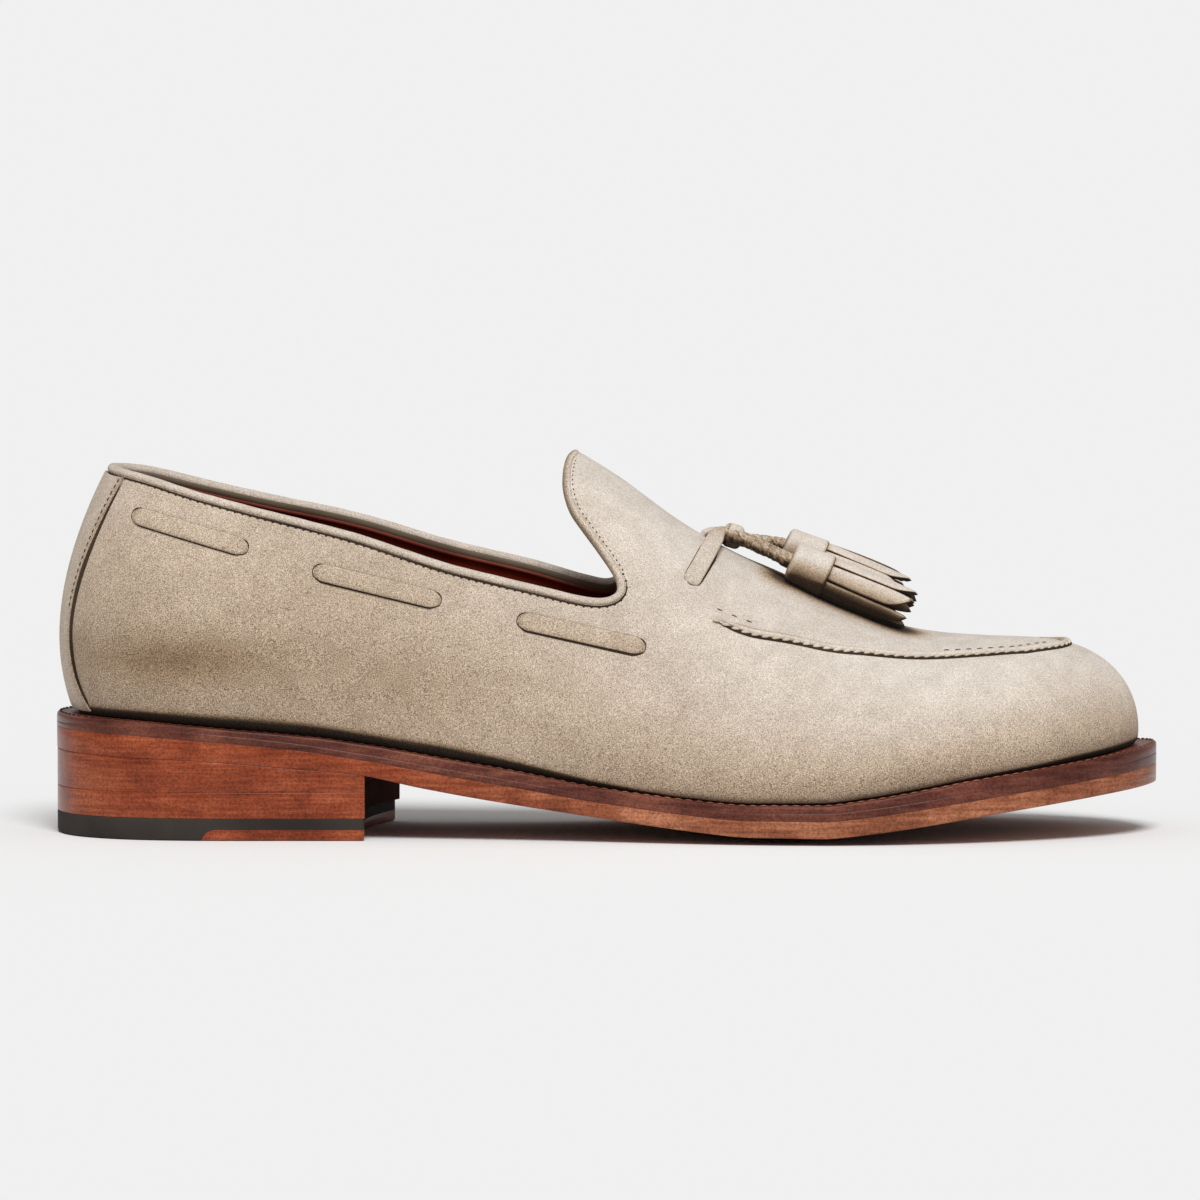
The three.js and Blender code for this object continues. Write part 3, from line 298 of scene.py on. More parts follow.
def soleReach(side, t):
    outer = np.interp(t, reachSteps, reachTable[-1])
    inner = np.interp(t, reachSteps, reachTable[1])
    return np.where(np.asarray(side) < 0, outer, inner)


# Points of the sole's outline, this far inside it.
def solePlan(side, t, inset):
    x, y, dx, dy, along = station(side, t)
    reach = soleReach(side, t) - inset
    return np.column_stack([x + dx * reach, y + dy * reach])


def featherReach(side, t):
    x, y, dx, dy, along = station(side, t)
    reach = soleReach(side, t)
    return reach - weltShowsAt(alongOf(x + dx * reach))


def lastPoint(side, t, s):
    x, y, dx, dy, along = station(side, t)
    reach = featherReach(side, t)
    footZ = weltEdge(x + dx * reach) + gap
    height = crownZ(x) - footZ
    angle = s * math.pi / 2
    level = np.sin(angle) ** (2 / wallPowerAt(along))
    span = np.maximum(np.cos(angle), 0) ** (2 / crownPowerAt(along))
    bulge = bulgeSize * (bulgeAt(along) + np.where(np.asarray(side) > 0, archBulgeAt(along), 0))
    tucked = np.maximum(0, 1 - level * height / tuckHeight)
    swelling = 27 / 4 * level * (1 - level) ** 2  # 1 at its highest
    r = reach * span + bulge * swelling - tuck * tucked * tucked
    return np.column_stack([x + dx * r, y + dy * r, footZ + height * level])


def lastNormal(side, t, s):
    step = 0.002
    sMid = np.minimum(s, 0.995)
    ahead = lastPoint(side, np.minimum(t + step, 1), sMid) - lastPoint(side, np.maximum(t - step, 0), sMid)
    up = lastPoint(side, t, np.minimum(s + step, 0.995)) - lastPoint(side, t, np.maximum(s - step, 0))
    return unit(np.cross(ahead, up) * -np.reshape(side, (-1, 1)))


def bisect(low, high, tooLow):
    for _ in range(26):
        mid = (low + high) / 2
        below = tooLow(mid)
        low, high = np.where(below, mid, low), np.where(below, high, mid)
    return (low + high) / 2


def sFor(side, t, z):
    return bisect(np.zeros(len(z)), np.ones(len(z)), lambda s: lastPoint(side, t, s)[:, 2] < z)


def tFor(side, x, z, limit=1.0):
    return bisect(
        np.zeros(len(z)), np.full(len(z), limit), lambda t: lastPoint(side, t, sFor(side, t, z))[:, 0] < x
    )


def onLast(side, x, z):
    x, z = np.asarray(x, float), np.asarray(z, float)
    sides = np.full(len(x), side)
    t = tFor(sides, x, z)
    s = sFor(sides, t, z)
    return lastPoint(sides, t, s), lastNormal(sides, t, s), t


# Points along a straight line of the side view, laid on the last, with the way out of it.
def lineOnLast(side, start, end, f):
    return onLast(side, start[0] + (end[0] - start[0]) * f, start[1] + (end[1] - start[1]) * f)[:2]


# The collar's edge in the side view, moved inwards, from behind the heel to the tongue's tip.
def collarPoints(side, inward, count=400):
    rows = [(xOf(a), weltTop(xOf(a)) + (r + (i if side > 0 else 0)) * instepRise) for a, r, i in collarLine]
    rows = [(rows[0][0] - 12, rows[0][1] + 2)] + rows
    line = spaced(splineThrough(rows, 900, False), count)
    ahead = unit(np.gradient(line, axis=0))
    return line + np.column_stack([ahead[:, 1], -ahead[:, 0]]) * inward


print("shape worked out")

# Making meshes


def deselectAll():
    bpy.ops.object.select_all(action="DESELECT")


def activate(piece):
    deselectAll()
    piece.select_set(True)
    bpy.context.view_layer.objects.active = piece


def vectorsOf(items, field):
    flat = np.empty(len(items) * 3)
    items.foreach_get(field, flat)
    return flat.reshape(-1, 3)


# Row of a grid with this many rows, for the share of the way along.
def rowAt(v, count):
    return np.rint(v * (count - 1)).astype(int)


def circleAt(u):
    return np.cos(u * 2 * math.pi), np.sin(u * 2 * math.pi)


# Makes a circle's cosine or sine squarer, the more so the lower the power.
def squarer(value, power):
    return np.sign(value) * np.abs(value) ** power


def upright(count):
    return np.tile([0.0, 0, 1], (count, 1))


# A grid whose points go where placeAt puts them, with their tones if it gives them.
def gridPiece(name, across, along, placeAt):
    deselectAll()
    bpy.ops.mesh.primitive_grid_add(x_subdivisions=across, y_subdivisions=along, size=1)
    piece = bpy.context.object
    piece.name = piece.data.name = name
    u, v, _ = (vectorsOf(piece.data.vertices, "co") + 0.5).T
    placed = placeAt(u, v)
    points, tones = placed if isinstance(placed, tuple) else (placed, None)
    piece.data.vertices.foreach_set("co", (points * mm).ravel())
    piece.data.update()
    if tones is not None:
        setTone(piece, tones)
    return piece


def setTone(piece, tones):
    layer = piece.data.attributes.new("tone", "FLOAT", "POINT")
    layer.data.foreach_set("value", np.clip(tones, 0, 1).astype(np.float32))


def mergeSeams(piece, distance=0.004, turnOut=True):
    activate(piece)
    bpy.ops.object.mode_set(mode="EDIT")
    bpy.ops.mesh.select_all(action="SELECT")
    bpy.ops.mesh.remove_doubles(threshold=distance * mm)
    bpy.ops.mesh.dissolve_degenerate(threshold=0.0005 * mm)
    if turnOut:
        bpy.ops.mesh.normals_make_consistent(inside=False)
    bpy.ops.object.mode_set(mode="OBJECT")


def applyModifier(piece, kind, **settings):
    activate(piece)
    modifier = piece.modifiers.new(kind.title(), kind)
    for key, value in settings.items():
        setattr(modifier, key, value)
    bpy.ops.object.modifier_apply(modifier=modifier.name)


def smoothShade(piece, angle=40):
    activate(piece)
    bpy.ops.object.shade_smooth_by_angle(angle=math.radians(angle))


def finishPiece(piece, material, nodes=(), angle=40):
    piece.data.materials.clear()
    piece.data.materials.append(material)
    smoothShade(piece, angle)
    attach(piece, "root")
    if nodes:
        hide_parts(*nodes)
    return piece


# A tube or strap that follows path. sectionAt gives its across and outward offsets, and its tone if it has
# one, for the share of the way round and the share of the way along.
def sweepPiece(name, path, outward, around, sectionAt, closed=False):
    path, outward = np.array(path), unit(np.array(outward))
    if closed:
        path, outward = np.vstack([path, path[:1]]), np.vstack([outward, outward[:1]])
        wide = np.vstack([path[-2:-1], path, path[1:2]])
        ahead = unit(wide[2:] - wide[:-2])
    else:
        ahead = unit(np.gradient(path, axis=0))
    across = unit(np.cross(outward, ahead))
    up = np.cross(ahead, across)

    def placeAt(u, v):
        i = rowAt(v, len(path))
        a, b, *tone = sectionAt(u, v)
        points = path[i] + across[i] * np.reshape(a, (-1, 1)) + up[i] * np.reshape(b, (-1, 1))
        return (points, tone[0]) if tone else points

    piece = gridPiece(name, around, len(path) - 1, placeAt)
    mergeSeams(piece)
    return piece


# Thin round line, its radius a number or a function of the way along. An open one runs out at both ends.
def roundLine(name, path, outward, radius, material, closed=False, flatness=1.0, taper=40):
    def section(u, v):
        c, s = circleAt(u)
        ends = 1 if closed else np.clip(np.minimum(v, 1 - v) * taper, 0, 1)
        half = (radius(v) if callable(radius) else radius) * ends
        return half * c, half * flatness * s

    return finishPiece(sweepPiece(name, path, outward, 8, section, closed), material, (), 60)


# Closed plate or ring: profile rows are (inset from the sole's outline or None for the middle line,
# height function, height added), from the middle of the underside round the edge to the top.
def platePiece(name, columns, profile, reachAt=None):
    def placeAt(u, v):
        side, t = halfOf(u)
        x, y, dx, dy, along = station(side, t)
        full = soleReach(side, t) if reachAt is None else reachAt(side, t)
        row = rowAt(v, len(profile))
        inset = np.array([1e6 if p[0] is None else p[0] for p in profile])[row]
        reach = np.maximum(full - inset, 0)
        px, py = x + dx * reach, y + dy * reach
        heights = np.array([p[1](px) + p[2] for p in profile])
        return np.column_stack([px, py, heights[row, np.arange(len(row))]])

    piece = gridPiece(name, columns, len(profile) - 1, placeAt)
    mergeSeams(piece)
    return piece


def joinPieces(pieces, name):
    deselectAll()
    for piece in pieces:
        piece.select_set(True)
    bpy.context.view_layer.objects.active = pieces[0]
    bpy.ops.object.join()
    joined = bpy.context.object
    joined.name = joined.data.name = name
    return joined


# One small shape copied to many places, each copy with its own mesh, then joined to one piece.
def copyAlong(name, seed, points, ahead, outward):
    ahead, outward = unit(ahead), unit(outward)
    across = unit(np.cross(outward, ahead))
    up = np.cross(ahead, across)
    copies = []
    for i in range(len(points)):
        copy = seed.copy()
        copy.data = seed.data.copy()
        turned = np.column_stack([ahead[i], across[i], up[i], points[i] * mm])
        copy.data.transform(Matrix(np.vstack([turned, [0, 0, 0, 1]]).tolist()))
        bpy.context.scene.collection.objects.link(copy)
        copies.append(copy)
    bpy.data.objects.remove(seed)
    return joinPieces(copies, name)


# Block with the given outline as seen from the side, from one y to another.
def sideBlock(name, corners, low, high):
    deselectAll()
    bpy.ops.mesh.primitive_circle_add(vertices=len(corners), fill_type="NGON")
    block = bpy.context.object
    block.name = name
    for vertex, (x, z) in zip(block.data.vertices, corners):
        vertex.co = Vector((x, low, z)) * mm
    bpy.ops.object.mode_set(mode="EDIT")
    bpy.ops.mesh.select_all(action="SELECT")
    bpy.ops.mesh.extrude_region_move(TRANSFORM_OT_translate={"value": (0, (high - low) * mm, 0)})
    bpy.ops.mesh.select_all(action="SELECT")
    bpy.ops.mesh.normals_make_consistent(inside=False)
    bpy.ops.object.mode_set(mode="OBJECT")
    return block


def stitchSeed(length, width, height):
    deselectAll()
    bpy.ops.mesh.primitive_uv_sphere_add(segments=8, ring_count=6, radius=0.5)
    seed = bpy.context.object
    for vertex in seed.data.vertices:
        x, y, z = vertex.co
        bent = 0.35 * height * (1 - (2 * x) ** 2)
        vertex.co = Vector((x * length, y * width, z * height + bent)) * mm
    return seed


def stitchRow(name, path, outward, look, material):
    count = max(2, int(lengthOf(path) / look["pitch"]))
    both = spaced(np.hstack([path, outward]), count)
    points, out = both[:, :3], unit(both[:, 3:])
    ahead = unit(np.gradient(points, axis=0))
    if look.get("turn"):
        turned = np.cross(out, ahead)
        angle = math.radians(look["turn"])
        ahead = ahead * math.cos(angle) + turned * math.sin(angle)
    points = points + out * look["lift"]
    seed = stitchSeed(look["length"], look["width"], look["height"])
    return finishPiece(copyAlong(name, seed, points, ahead, out), material)


# Materials


def srgb(r, g, b):
    return tuple(((c / 255 + 0.055) / 1.055) ** 2.4 if c > 10 else c / 255 / 12.92 for c in (r, g, b)) + (1,)


def newMaterial(name):
    material = bpy.data.materials.new(name)
    material.use_nodes = True
    return material, material.node_tree, material.node_tree.nodes["Principled BSDF"]


# Values go on the node's own sockets, and outputs of other nodes are linked into it.
def fillNode(tree, node, values, linked):
    for socket, value in values.items():
        node.inputs[socket].default_value = value
    for socket, output in linked.items():
        tree.links.new(output, node.inputs[socket])
    return node


def addNode(tree, kind, values, linked):
    return fillNode(tree, tree.nodes.new(f"ShaderNode{kind}"), values, linked)


def objectCoords(tree):
    return tree.nodes.new("ShaderNodeTexCoord").outputs["Object"]


def noiseNode(tree, coords, scale, detail=3, roughness=0.55):
    values = {"Scale": scale, "Detail": detail, "Roughness": roughness}
    return addNode(tree, "TexNoise", values, {"Vector": coords}).outputs["Fac"]


def rampNode(tree, value, stops):
    ramp = addNode(tree, "ValToRGB", {}, {"Fac": value})
    elements = ramp.color_ramp.elements
    while len(elements) < len(stops):
        elements.new(0.5)
    for element, (at, colour) in zip(elements, stops):
        element.position = at
        element.color = colour if isinstance(colour, tuple) else (colour, colour, colour, 1)
    return ramp.outputs["Color"]


# Noise keeps near its middle, so its tones are spread over that part only.
def twoTones(tree, value, low, high):
    return rampNode(tree, value, [(0.35, low), (0.65, high)])


def threeTones(tree, value, low, middle, high):
    return rampNode(tree, value, [(0.36, low), (0.5, middle), (0.64, high)])


def mixNode(tree, a, b, factor, blend="MIX"):
    mix = tree.nodes.new("ShaderNodeMix")
    mix.data_type = "RGBA"
    mix.blend_type = blend
    fixed = isinstance(factor, (int, float))
    fillNode(tree, mix, {0: factor} if fixed else {}, {6: a, 7: b} if fixed else {0: factor, 6: a, 7: b})
    return mix.outputs[2]


def multiply(tree, a, b):
    return mixNode(tree, a, b, 1, "MULTIPLY")


def rangeNode(tree, value, ends):
    return addNode(tree, "MapRange", ends, {"Value": value}).outputs["Result"]


def bumpNode(tree, height, strength, distance, normal=None):
    linked = {"Height": height} if normal is None else {"Height": height, "Normal": normal}
    return addNode(tree, "Bump", {"Strength": strength, "Distance": distance * mm}, linked).outputs["Normal"]


# tones go from the lit top to the shade of a crease, by each vertex's tone from 0 to 1: painted light and shade.
suedeLook = {
    "tones": [(0.0, (213, 204, 194)), (0.3, (190, 172, 152)), (0.6, (148, 126, 102)), (0.85, (80, 65, 50)),
              (1.0, (47, 38, 31))],
    "grainScale": 3500, "fleckScale": 1500, "flecks": (0.93, 1.0, 1.05), "sheen": 0.08,
    "patches": [(42, (0.94, 0.925, 0.91, 1)), (170, (0.95, 0.94, 0.93, 1))], "patchLight": 1.04,  # scale, shade
    "litGrain": ((0.8, 0.78, 0.76, 1), 1.0, 1.15),
    "fullGrain": ((0.42, 0.37, 0.32, 1), 0.98, (1.55, 1.57, 1.6, 1)),
    "litShare": 0.12, "fullFrom": 0.42,
    "grainBump": (0.7, 0.22), "fleckBump": (0.3, 0.2),  # strength, distance
}


def suedeMaterial(name, look, depth=1.0):
    material, tree, shader = newMaterial(name)
    coords = objectCoords(tree)
    attribute = tree.nodes.new("ShaderNodeAttribute")
    attribute.attribute_name = "tone"
    tone = attribute.outputs["Fac"]
    grain = noiseNode(tree, coords, look["grainScale"], 2, 0.6)
    fleck = noiseNode(tree, coords, look["fleckScale"], 2, 0.6)
    colour = rampNode(tree, tone, [(at, srgb(*shade)) for at, shade in look["tones"]])
    for scale, shade in look["patches"]:
        colour = multiply(tree, colour, twoTones(tree, noiseNode(tree, coords, scale), shade, look["patchLight"]))
    # The grain shows more strongly where the painted shade is deeper.
    lit, full = (threeTones(tree, grain, *look[key]) for key in ("litGrain", "fullGrain"))
    share = rampNode(tree, tone, [(0.0, look["litShare"] * depth), (look["fullFrom"], depth)])
    colour = multiply(tree, colour, mixNode(tree, lit, full, share))
    colour = multiply(tree, colour, threeTones(tree, fleck, *look["flecks"]))
    (fine, fineDeep), (coarse, coarseDeep) = look["grainBump"], look["fleckBump"]
    normal = bumpNode(tree, grain, fine * depth, fineDeep, bumpNode(tree, fleck, coarse * depth, coarseDeep))
    fillNode(tree, shader, {
        "Roughness": 0.95, "Specular IOR Level": 0.1, "Sheen Weight": look["sheen"], "Sheen Roughness": 0.5,
        "Sheen Tint": (1.0, 0.95, 0.9, 1),
    }, {"Base Color": colour, "Normal": normal})
    return material


edgeLook = {
    "coat": 1.0, "coatIor": 1.25, "coatRoughness": 0.3, "from": -60, "to": 20,
    "streakLength": 60, "cloudScale": 60, "cloudShare": 0.55, "speckScale": 1500, "specks": (0.62, 0.94, 1.15),
    "roughness": {"To Min": 0.35, "To Max": 0.6}, "speckBump": (0.2, 0.05), "streakBump": (0.12, 0.1),
    "weltDark": (66, 30, 22), "weltMiddle": (97, 52, 41), "weltLight": (126, 74, 58),
    "soleDark": (104, 54, 34), "soleMiddle": (150, 90, 62), "soleLight": (186, 124, 92),
    "heelDark": (104, 44, 24), "heelMiddle": (142, 66, 38), "heelLight": (172, 92, 58),
}


# Goes from 0 at the heel to 1 in front of the waist.
def forwardShare(tree, coords):
    x = addNode(tree, "SeparateXYZ", {}, {"Vector": coords}).outputs["X"]
    return rangeNode(tree, x, {"From Min": edgeLook["from"] * mm, "From Max": edgeLook["to"] * mm})


# Polished leather edge: streaks run along its layers, with fine specks of the fibres.
def edgeMaterial(name, key, layers, backKey=None):
    look = edgeLook
    material, tree, shader = newMaterial(name)
    coords = objectCoords(tree)
    stretch = {"Scale": (look["streakLength"], look["streakLength"], layers)}
    stretched = addNode(tree, "Mapping", stretch, {"Vector": coords}).outputs["Vector"]
    streaks = noiseNode(tree, stretched, 1.0, 4, 0.6)
    speck = noiseNode(tree, coords, look["speckScale"], 2, 0.7)
    mixed = mixNode(tree, streaks, noiseNode(tree, coords, look["cloudScale"]), look["cloudShare"])

    def shaded(which):
        return threeTones(tree, mixed, *(srgb(*look[which + part]) for part in ("Dark", "Middle", "Light")))

    colour = shaded(key)
    if backKey:
        colour = mixNode(tree, shaded(backKey), colour, forwardShare(tree, coords))
    normal = bumpNode(tree, streaks, *look["streakBump"], bumpNode(tree, speck, *look["speckBump"]))
    fillNode(tree, shader, {
        "Specular IOR Level": 0.02, "Coat Weight": look["coat"], "Coat IOR": look["coatIor"],
        "Coat Roughness": look["coatRoughness"],
    }, {
        "Base Color": multiply(tree, colour, threeTones(tree, speck, *look["specks"])),
        "Roughness": rangeNode(tree, streaks, look["roughness"]), "Normal": normal,
    })
    return material


# Dull leather, thread or rubber, cloudy between two shades. back gives its two shades at the heel.
def smoothLeatherMaterial(name, dark, light, roughness, grain=900, back=None):
    material, tree, shader = newMaterial(name)
    coords = objectCoords(tree)
    cloud = noiseNode(tree, coords, 30)
    cells = addNode(tree, "TexVoronoi", {"Scale": grain}, {"Vector": coords}).outputs["Distance"]
    colour = twoTones(tree, cloud, srgb(*dark), srgb(*light))
    if back:
        backColour = twoTones(tree, cloud, *(srgb(*shade) for shade in back))
        colour = mixNode(tree, backColour, colour, forwardShare(tree, coords))
    linked = {"Base Color": colour, "Normal": bumpNode(tree, cells, 0.2, 0.1)}
    fillNode(tree, shader, {"Roughness": roughness, "Specular IOR Level": 0.12}, linked)
    return material


suede = suedeMaterial("suede", suedeLook)
closeSuede = suedeMaterial("close_suede", suedeLook, 0.4)
thread = smoothLeatherMaterial("thread", (196, 178, 156), (222, 208, 190), 0.8, 2500)
# Dark thread for the stitches, and the same colour laid as thin lines of painted shade in slits, grooves and the
# crease under the binding.
darkThreadAndShade = smoothLeatherMaterial("dark_thread_and_painted_shade", (46, 36, 28), (66, 54, 43), 0.9, 2500)
weltThread = smoothLeatherMaterial(
    "welt_thread", (112, 62, 48), (158, 106, 84), 0.7, 2500, ((62, 32, 22), (84, 46, 33)),
)
# Matte leather of the heel's front; its dark colour is painted shade under the shoe.
shadedBreastLeather = smoothLeatherMaterial("heel_breast_painted_shade", (50, 22, 12), (76, 38, 22), 0.95, 1200)
lining = smoothLeatherMaterial("lining_leather", (100, 31, 16), (142, 50, 29), 0.6)
# Grey-brown band inside the collar under the binding: painted shade where the binding turns in.
turnedInShade = smoothLeatherMaterial("turned_in_shade_band", (124, 108, 91), (154, 137, 117), 0.8, 1500)
liningRoll = smoothLeatherMaterial("lining_roll", (118, 54, 42), (150, 78, 62), 0.5, 1500)
weltLeather = edgeMaterial("welt_leather", "welt", 700)
soleEdge = edgeMaterial("sole_leather", "sole", 900, "heel")
heelEdge = edgeMaterial("heel_leather", "heel", 1300)
rubber = smoothLeatherMaterial("rubber", (46, 41, 38), (64, 58, 54), 0.8, 1800)
print("materials made")

# Lace ends, knot and tassels

knotLook = {
    "along": 0.6145, "length": 5.4, "diameter": 6.0, "swell": 1.1, "clear": 0.9, "slope": -0.32, "wider": 1.08,
    "tone": 0.05, "uneven": 0.05, "pinch": (0.2, 0.06), "pinchDepth": 0.05, "pinchTone": 0.5,  # at, spread
    "endTone": 0.9, "underTone": 0.8, "bandUnderTone": 0.75, "around": 28, "steps": 31,
    "fold": [(-1.4, 1.3), (-3.6, 1.6), (-5.9, 1.5), (-7.8, 0.8), (-8.3, -0.6), (-7.4, -1.8)],  # x, z
    "shade_core": [(-7.2, -0.6), (-4.4, -0.5), (-1.8, -0.7)],
    "bands": (("fold", 5.4, 1.7, 0.06), ("shade_core", 4.4, 2.6, 0.85)),  # name, width, thickness, tone
}
cordLook = {
    "width": 4.9, "thickness": 1.2, "thong": 4.2, "slotAlong": 0.5745, "slotRise": 0.633, "topAlong": 0.5945,
    "belowCrown": 1.1, "sunk": 1.4, "sinkShare": 0.08, "raised": 1.9, "raisedFrom": 0.4, "intoKnot": 0.5,
    "outOfKnot": 0.6, "intoTassel": 1.2, "rings": 90, "flatRings": 48, "around": 20, "tip": 0.042,
    "rolledFrom": 0.42, "rollOver": 0.22, "rolledHeight": 0.92, "fibre": 0.04, "wave": 0.05, "waves": 37,
    "tone": 0.12, "edgeTone": 1.05, "rolledTone": 0.26, "underTone": 0.55, "fibreTone": 0.16,
    "outlined": 0.95, "edgeShade": 0.42, "endShade": 0.12,
}
tasselLook = {
    "along": 0.669, "slope": -0.44, "headDiameter": 10.6, "headLength": 11.4, "fringeLength": 25.3,
    "stripThickness": 1.3, "flattened": 0.2, "below": 0.95, "uneven": 2.2, "splay": 0.14, "twist": 0.12,
    "around": 64, "wrapStep": 0.06, "stripInHead": 1.2, "stripWider": 1.08, "pointFrom": 0.7, "pointNarrow": 0.9,
    "slant": 0.3, "edgeTone": 0.85, "insideTone": 0.7, "headTone": 0.8, "headShade": 1.8,
    # The inner ring's tone is painted shade inside the fringe.
    "strips": (  # count, out, shorter, flare, turn, tone
        (7, 0.94, 0, 0.06, 0.41, 0.04), (5, 0.5, 0.4, 0.2, 0.0, 0.6),
    ),
}
tassels = {"outer": {"across": -9.6, "lift": -0.7, "x": -1.0}, "inner": {"across": 3.4, "lift": 1.9, "x": -2.6}}
knotAxis = unit(np.array([1, 0, knotLook["slope"]]))
tasselAxis = unit(np.array([1, 0, tasselLook["slope"]]))
knotCentre = np.array([
    xAt(knotLook["along"]),
    float(ridgeY(knotLook["along"])),
    float(crownZ(xAt(knotLook["along"]))) + gap + knotLook["diameter"] / 2 + knotLook["clear"],
])
fibres = np.random.default_rng(3)


def tasselTop(tassel):
    x = xAt(tasselLook["along"]) + tassel["x"]
    height = float(crownZ(x)) + tasselLook["headDiameter"] / 2 + gap + tassel["lift"]
    return np.array([x, float(ridgeY(tasselLook["along"])) + tassel["across"], height])


def bezier(a, b, c, d, count):
    f = np.linspace(0, 1, count).reshape(-1, 1)
    return a * (1 - f) ** 3 + 3 * b * f * (1 - f) ** 2 + 3 * c * f * f * (1 - f) + d * f ** 3


# The strap in the side view, from its slit up to the knot.
def strapEnds(look):
    low, top = xAt(look["slotAlong"]), xAt(look["topAlong"])
    topZ = float(crownZ(top)) - look["belowCrown"]
    return np.array([low, riseZ(low, look["slotRise"])]), np.array([top, topZ])


# Middle line of one end of the lace, and the way its flat side faces, for each of its rings.
def cordPath(name, side, look):
    f = np.linspace(0, 1, 24)
    points, normals = lineOnLast(side, *strapEnds(look), f)
    lift = gap + look["thickness"] / 2 - look["sunk"] * np.clip(1 - f / look["sinkShare"], 0, 1)
    lift += look["raised"] * np.maximum(0, f - look["raisedFrom"])
    run = points + normals * lift.reshape(-1, 1)
    offset = np.array([0, side * (look["thong"] / 2 + gap), 0])
    start = knotCentre - knotAxis * (knotLook["length"] / 2 + look["intoKnot"])
    into = bezier(
        run[-1], run[-1] + unit(run[-1] - run[-3]) * 3.2, start + offset * 0.5 - knotAxis * 1.5,
        start + offset * 0.7, 8,
    )
    through = knotCentre + knotAxis * (knotLook["length"] / 2 + look["outOfKnot"]) + offset
    away = tasselTop(tassels[name]) + tasselAxis * look["intoTassel"]
    onward = bezier(through, through + knotAxis * look["thong"], away - tasselAxis * look["thong"], away, 16)
    rough = spaced(np.vstack([run, into[1:], onward]), 22)
    path = spaced(splineThrough(rough, 160, False), look["rings"])
    byRun = np.clip(1 - np.arange(len(path)) / look["flatRings"], 0, 1).reshape(-1, 1)
    nearest = [int(np.argmin(np.linalg.norm(points - p, axis=1))) for p in path]
    return path, unit(np.array([0, 0, 1.0]) * (1 - byRun) + normals[nearest] * byRun)


# One end of the lace: a flat strap from its slit up to the knot, then a rolled thong on to the tassel.
def makeCord(name, side, look):
    path, out = cordPath(name, side, look)

    def section(u, v):
        rolled = np.clip((v - look["rolledFrom"]) / look["rollOver"], 0, 1)
        half = (look["width"] / 2) * (1 - rolled) + look["thong"] / 2 * rolled
        height = (look["thickness"] / 2) * (1 - rolled) + look["thong"] / 2 * look["rolledHeight"] * rolled
        c, s = circleAt(u)
        power = 2 / (4 - 1.8 * rolled)  # from a flat section to a nearly round one
        rough = fibres.normal(0, 1, len(v))
        turns = np.sin(v * look["waves"] - u * 4 * math.pi)
        uneven = 1 + rolled * (look["fibre"] * rough + look["wave"] * turns)
        tip = np.sqrt(1 - (1 - np.clip(v / look["tip"], 0, 1)) ** 2) * np.where(v > 1 - 1e-6, 0, 1)
        # under is painted shade below the rolled thong; the thong is darker in its own colour, with fibres, and
        # the flat strap darker at its edges.
        under = look["underTone"] * np.clip((0.4 - s) / 0.6, 0, 1)
        tone = look["tone"] + rolled * (look["rolledTone"] + under + look["fibreTone"] * rough)
        tone += look["edgeTone"] * np.clip(np.abs(c) - 0.8, 0, 1) * (1 - rolled)
        return half * squarer(c, power) * uneven * tip, height * squarer(s, power) * uneven * tip, tone

    cord = sweepPiece(f"lace_end_{name}_suede", path, out, look["around"], section)
    finishPiece(cord, suede, (f"lace_end_{name}", f"tassel_cord_{name}"), 60)
    return cord, path


# Band of the knot: the fold of the lace that comes back into it, or the shade core under the fold, a dark lump
# that stands for the shade in the gaps.
def knotBand(name, width, thickness, shade):
    rows = [knotCentre + np.array([x, 0.0, z]) for x, z in knotLook[name]]
    path = spaced(splineThrough(rows, 120, False), 40)
    ahead = np.gradient(path, axis=0)
    outward = np.column_stack([-ahead[:, 2], ahead[:, 1], ahead[:, 0]])

    def section(u, v):
        c, s = circleAt(u)
        ends = np.sqrt(np.clip(1 - np.abs(2 * v - 1) ** 10, 0, 1))
        # Painted shade on the band's underside.
        under = s > 0 if ahead[0, 0] < 0 else s < 0
        tone = shade + knotLook["bandUnderTone"] * np.clip(np.abs(s) - 0.1, 0, 1) * under
        return width / 2 * squarer(c, 0.4) * ends, thickness / 2 * squarer(s, 0.8) * ends, tone

    return sweepPiece(name, path, outward, 20, section)


# The knot: a wrap round both thongs, and its two bands.
def makeKnot(look):
    def wrapSection(u, v):
        swell = np.sqrt(np.clip(1 - np.abs(2 * v - 1) ** 5, 0, 1)) * (1.04 - 0.1 * v) * look["swell"]
        at, spread = look["pinch"]
        pinch = np.exp(-((v - at) / spread) ** 2)
        uneven = look["uneven"] * np.cos(u * 4 * math.pi + 1 + 2 * v)
        half = look["diameter"] / 2 * swell * (1 + uneven - look["pinchDepth"] * pinch)
        c, s = circleAt(u)
        # Painted shade in the pinch, where the wrap curves in at its ends and on its underside.
        tone = look["tone"] + look["pinchTone"] * pinch + np.clip(look["endTone"] - 2 * swell, 0, look["endTone"])
        return half * look["wider"] * c, half * s, tone + look["underTone"] * np.clip(0.35 - s, 0, 1)

    f = np.linspace(-0.5, 0.5, look["steps"]).reshape(-1, 1)
    path = knotCentre + knotAxis * f * (look["length"] + 0.6)
    parts = [sweepPiece("wrap", path, upright(len(path)), look["around"], wrapSection)]
    parts += [knotBand(*band) for band in look["bands"]]
    return finishPiece(joinPieces(parts, "lace_knot_suede"), suede, ("lace_knot",), 60)


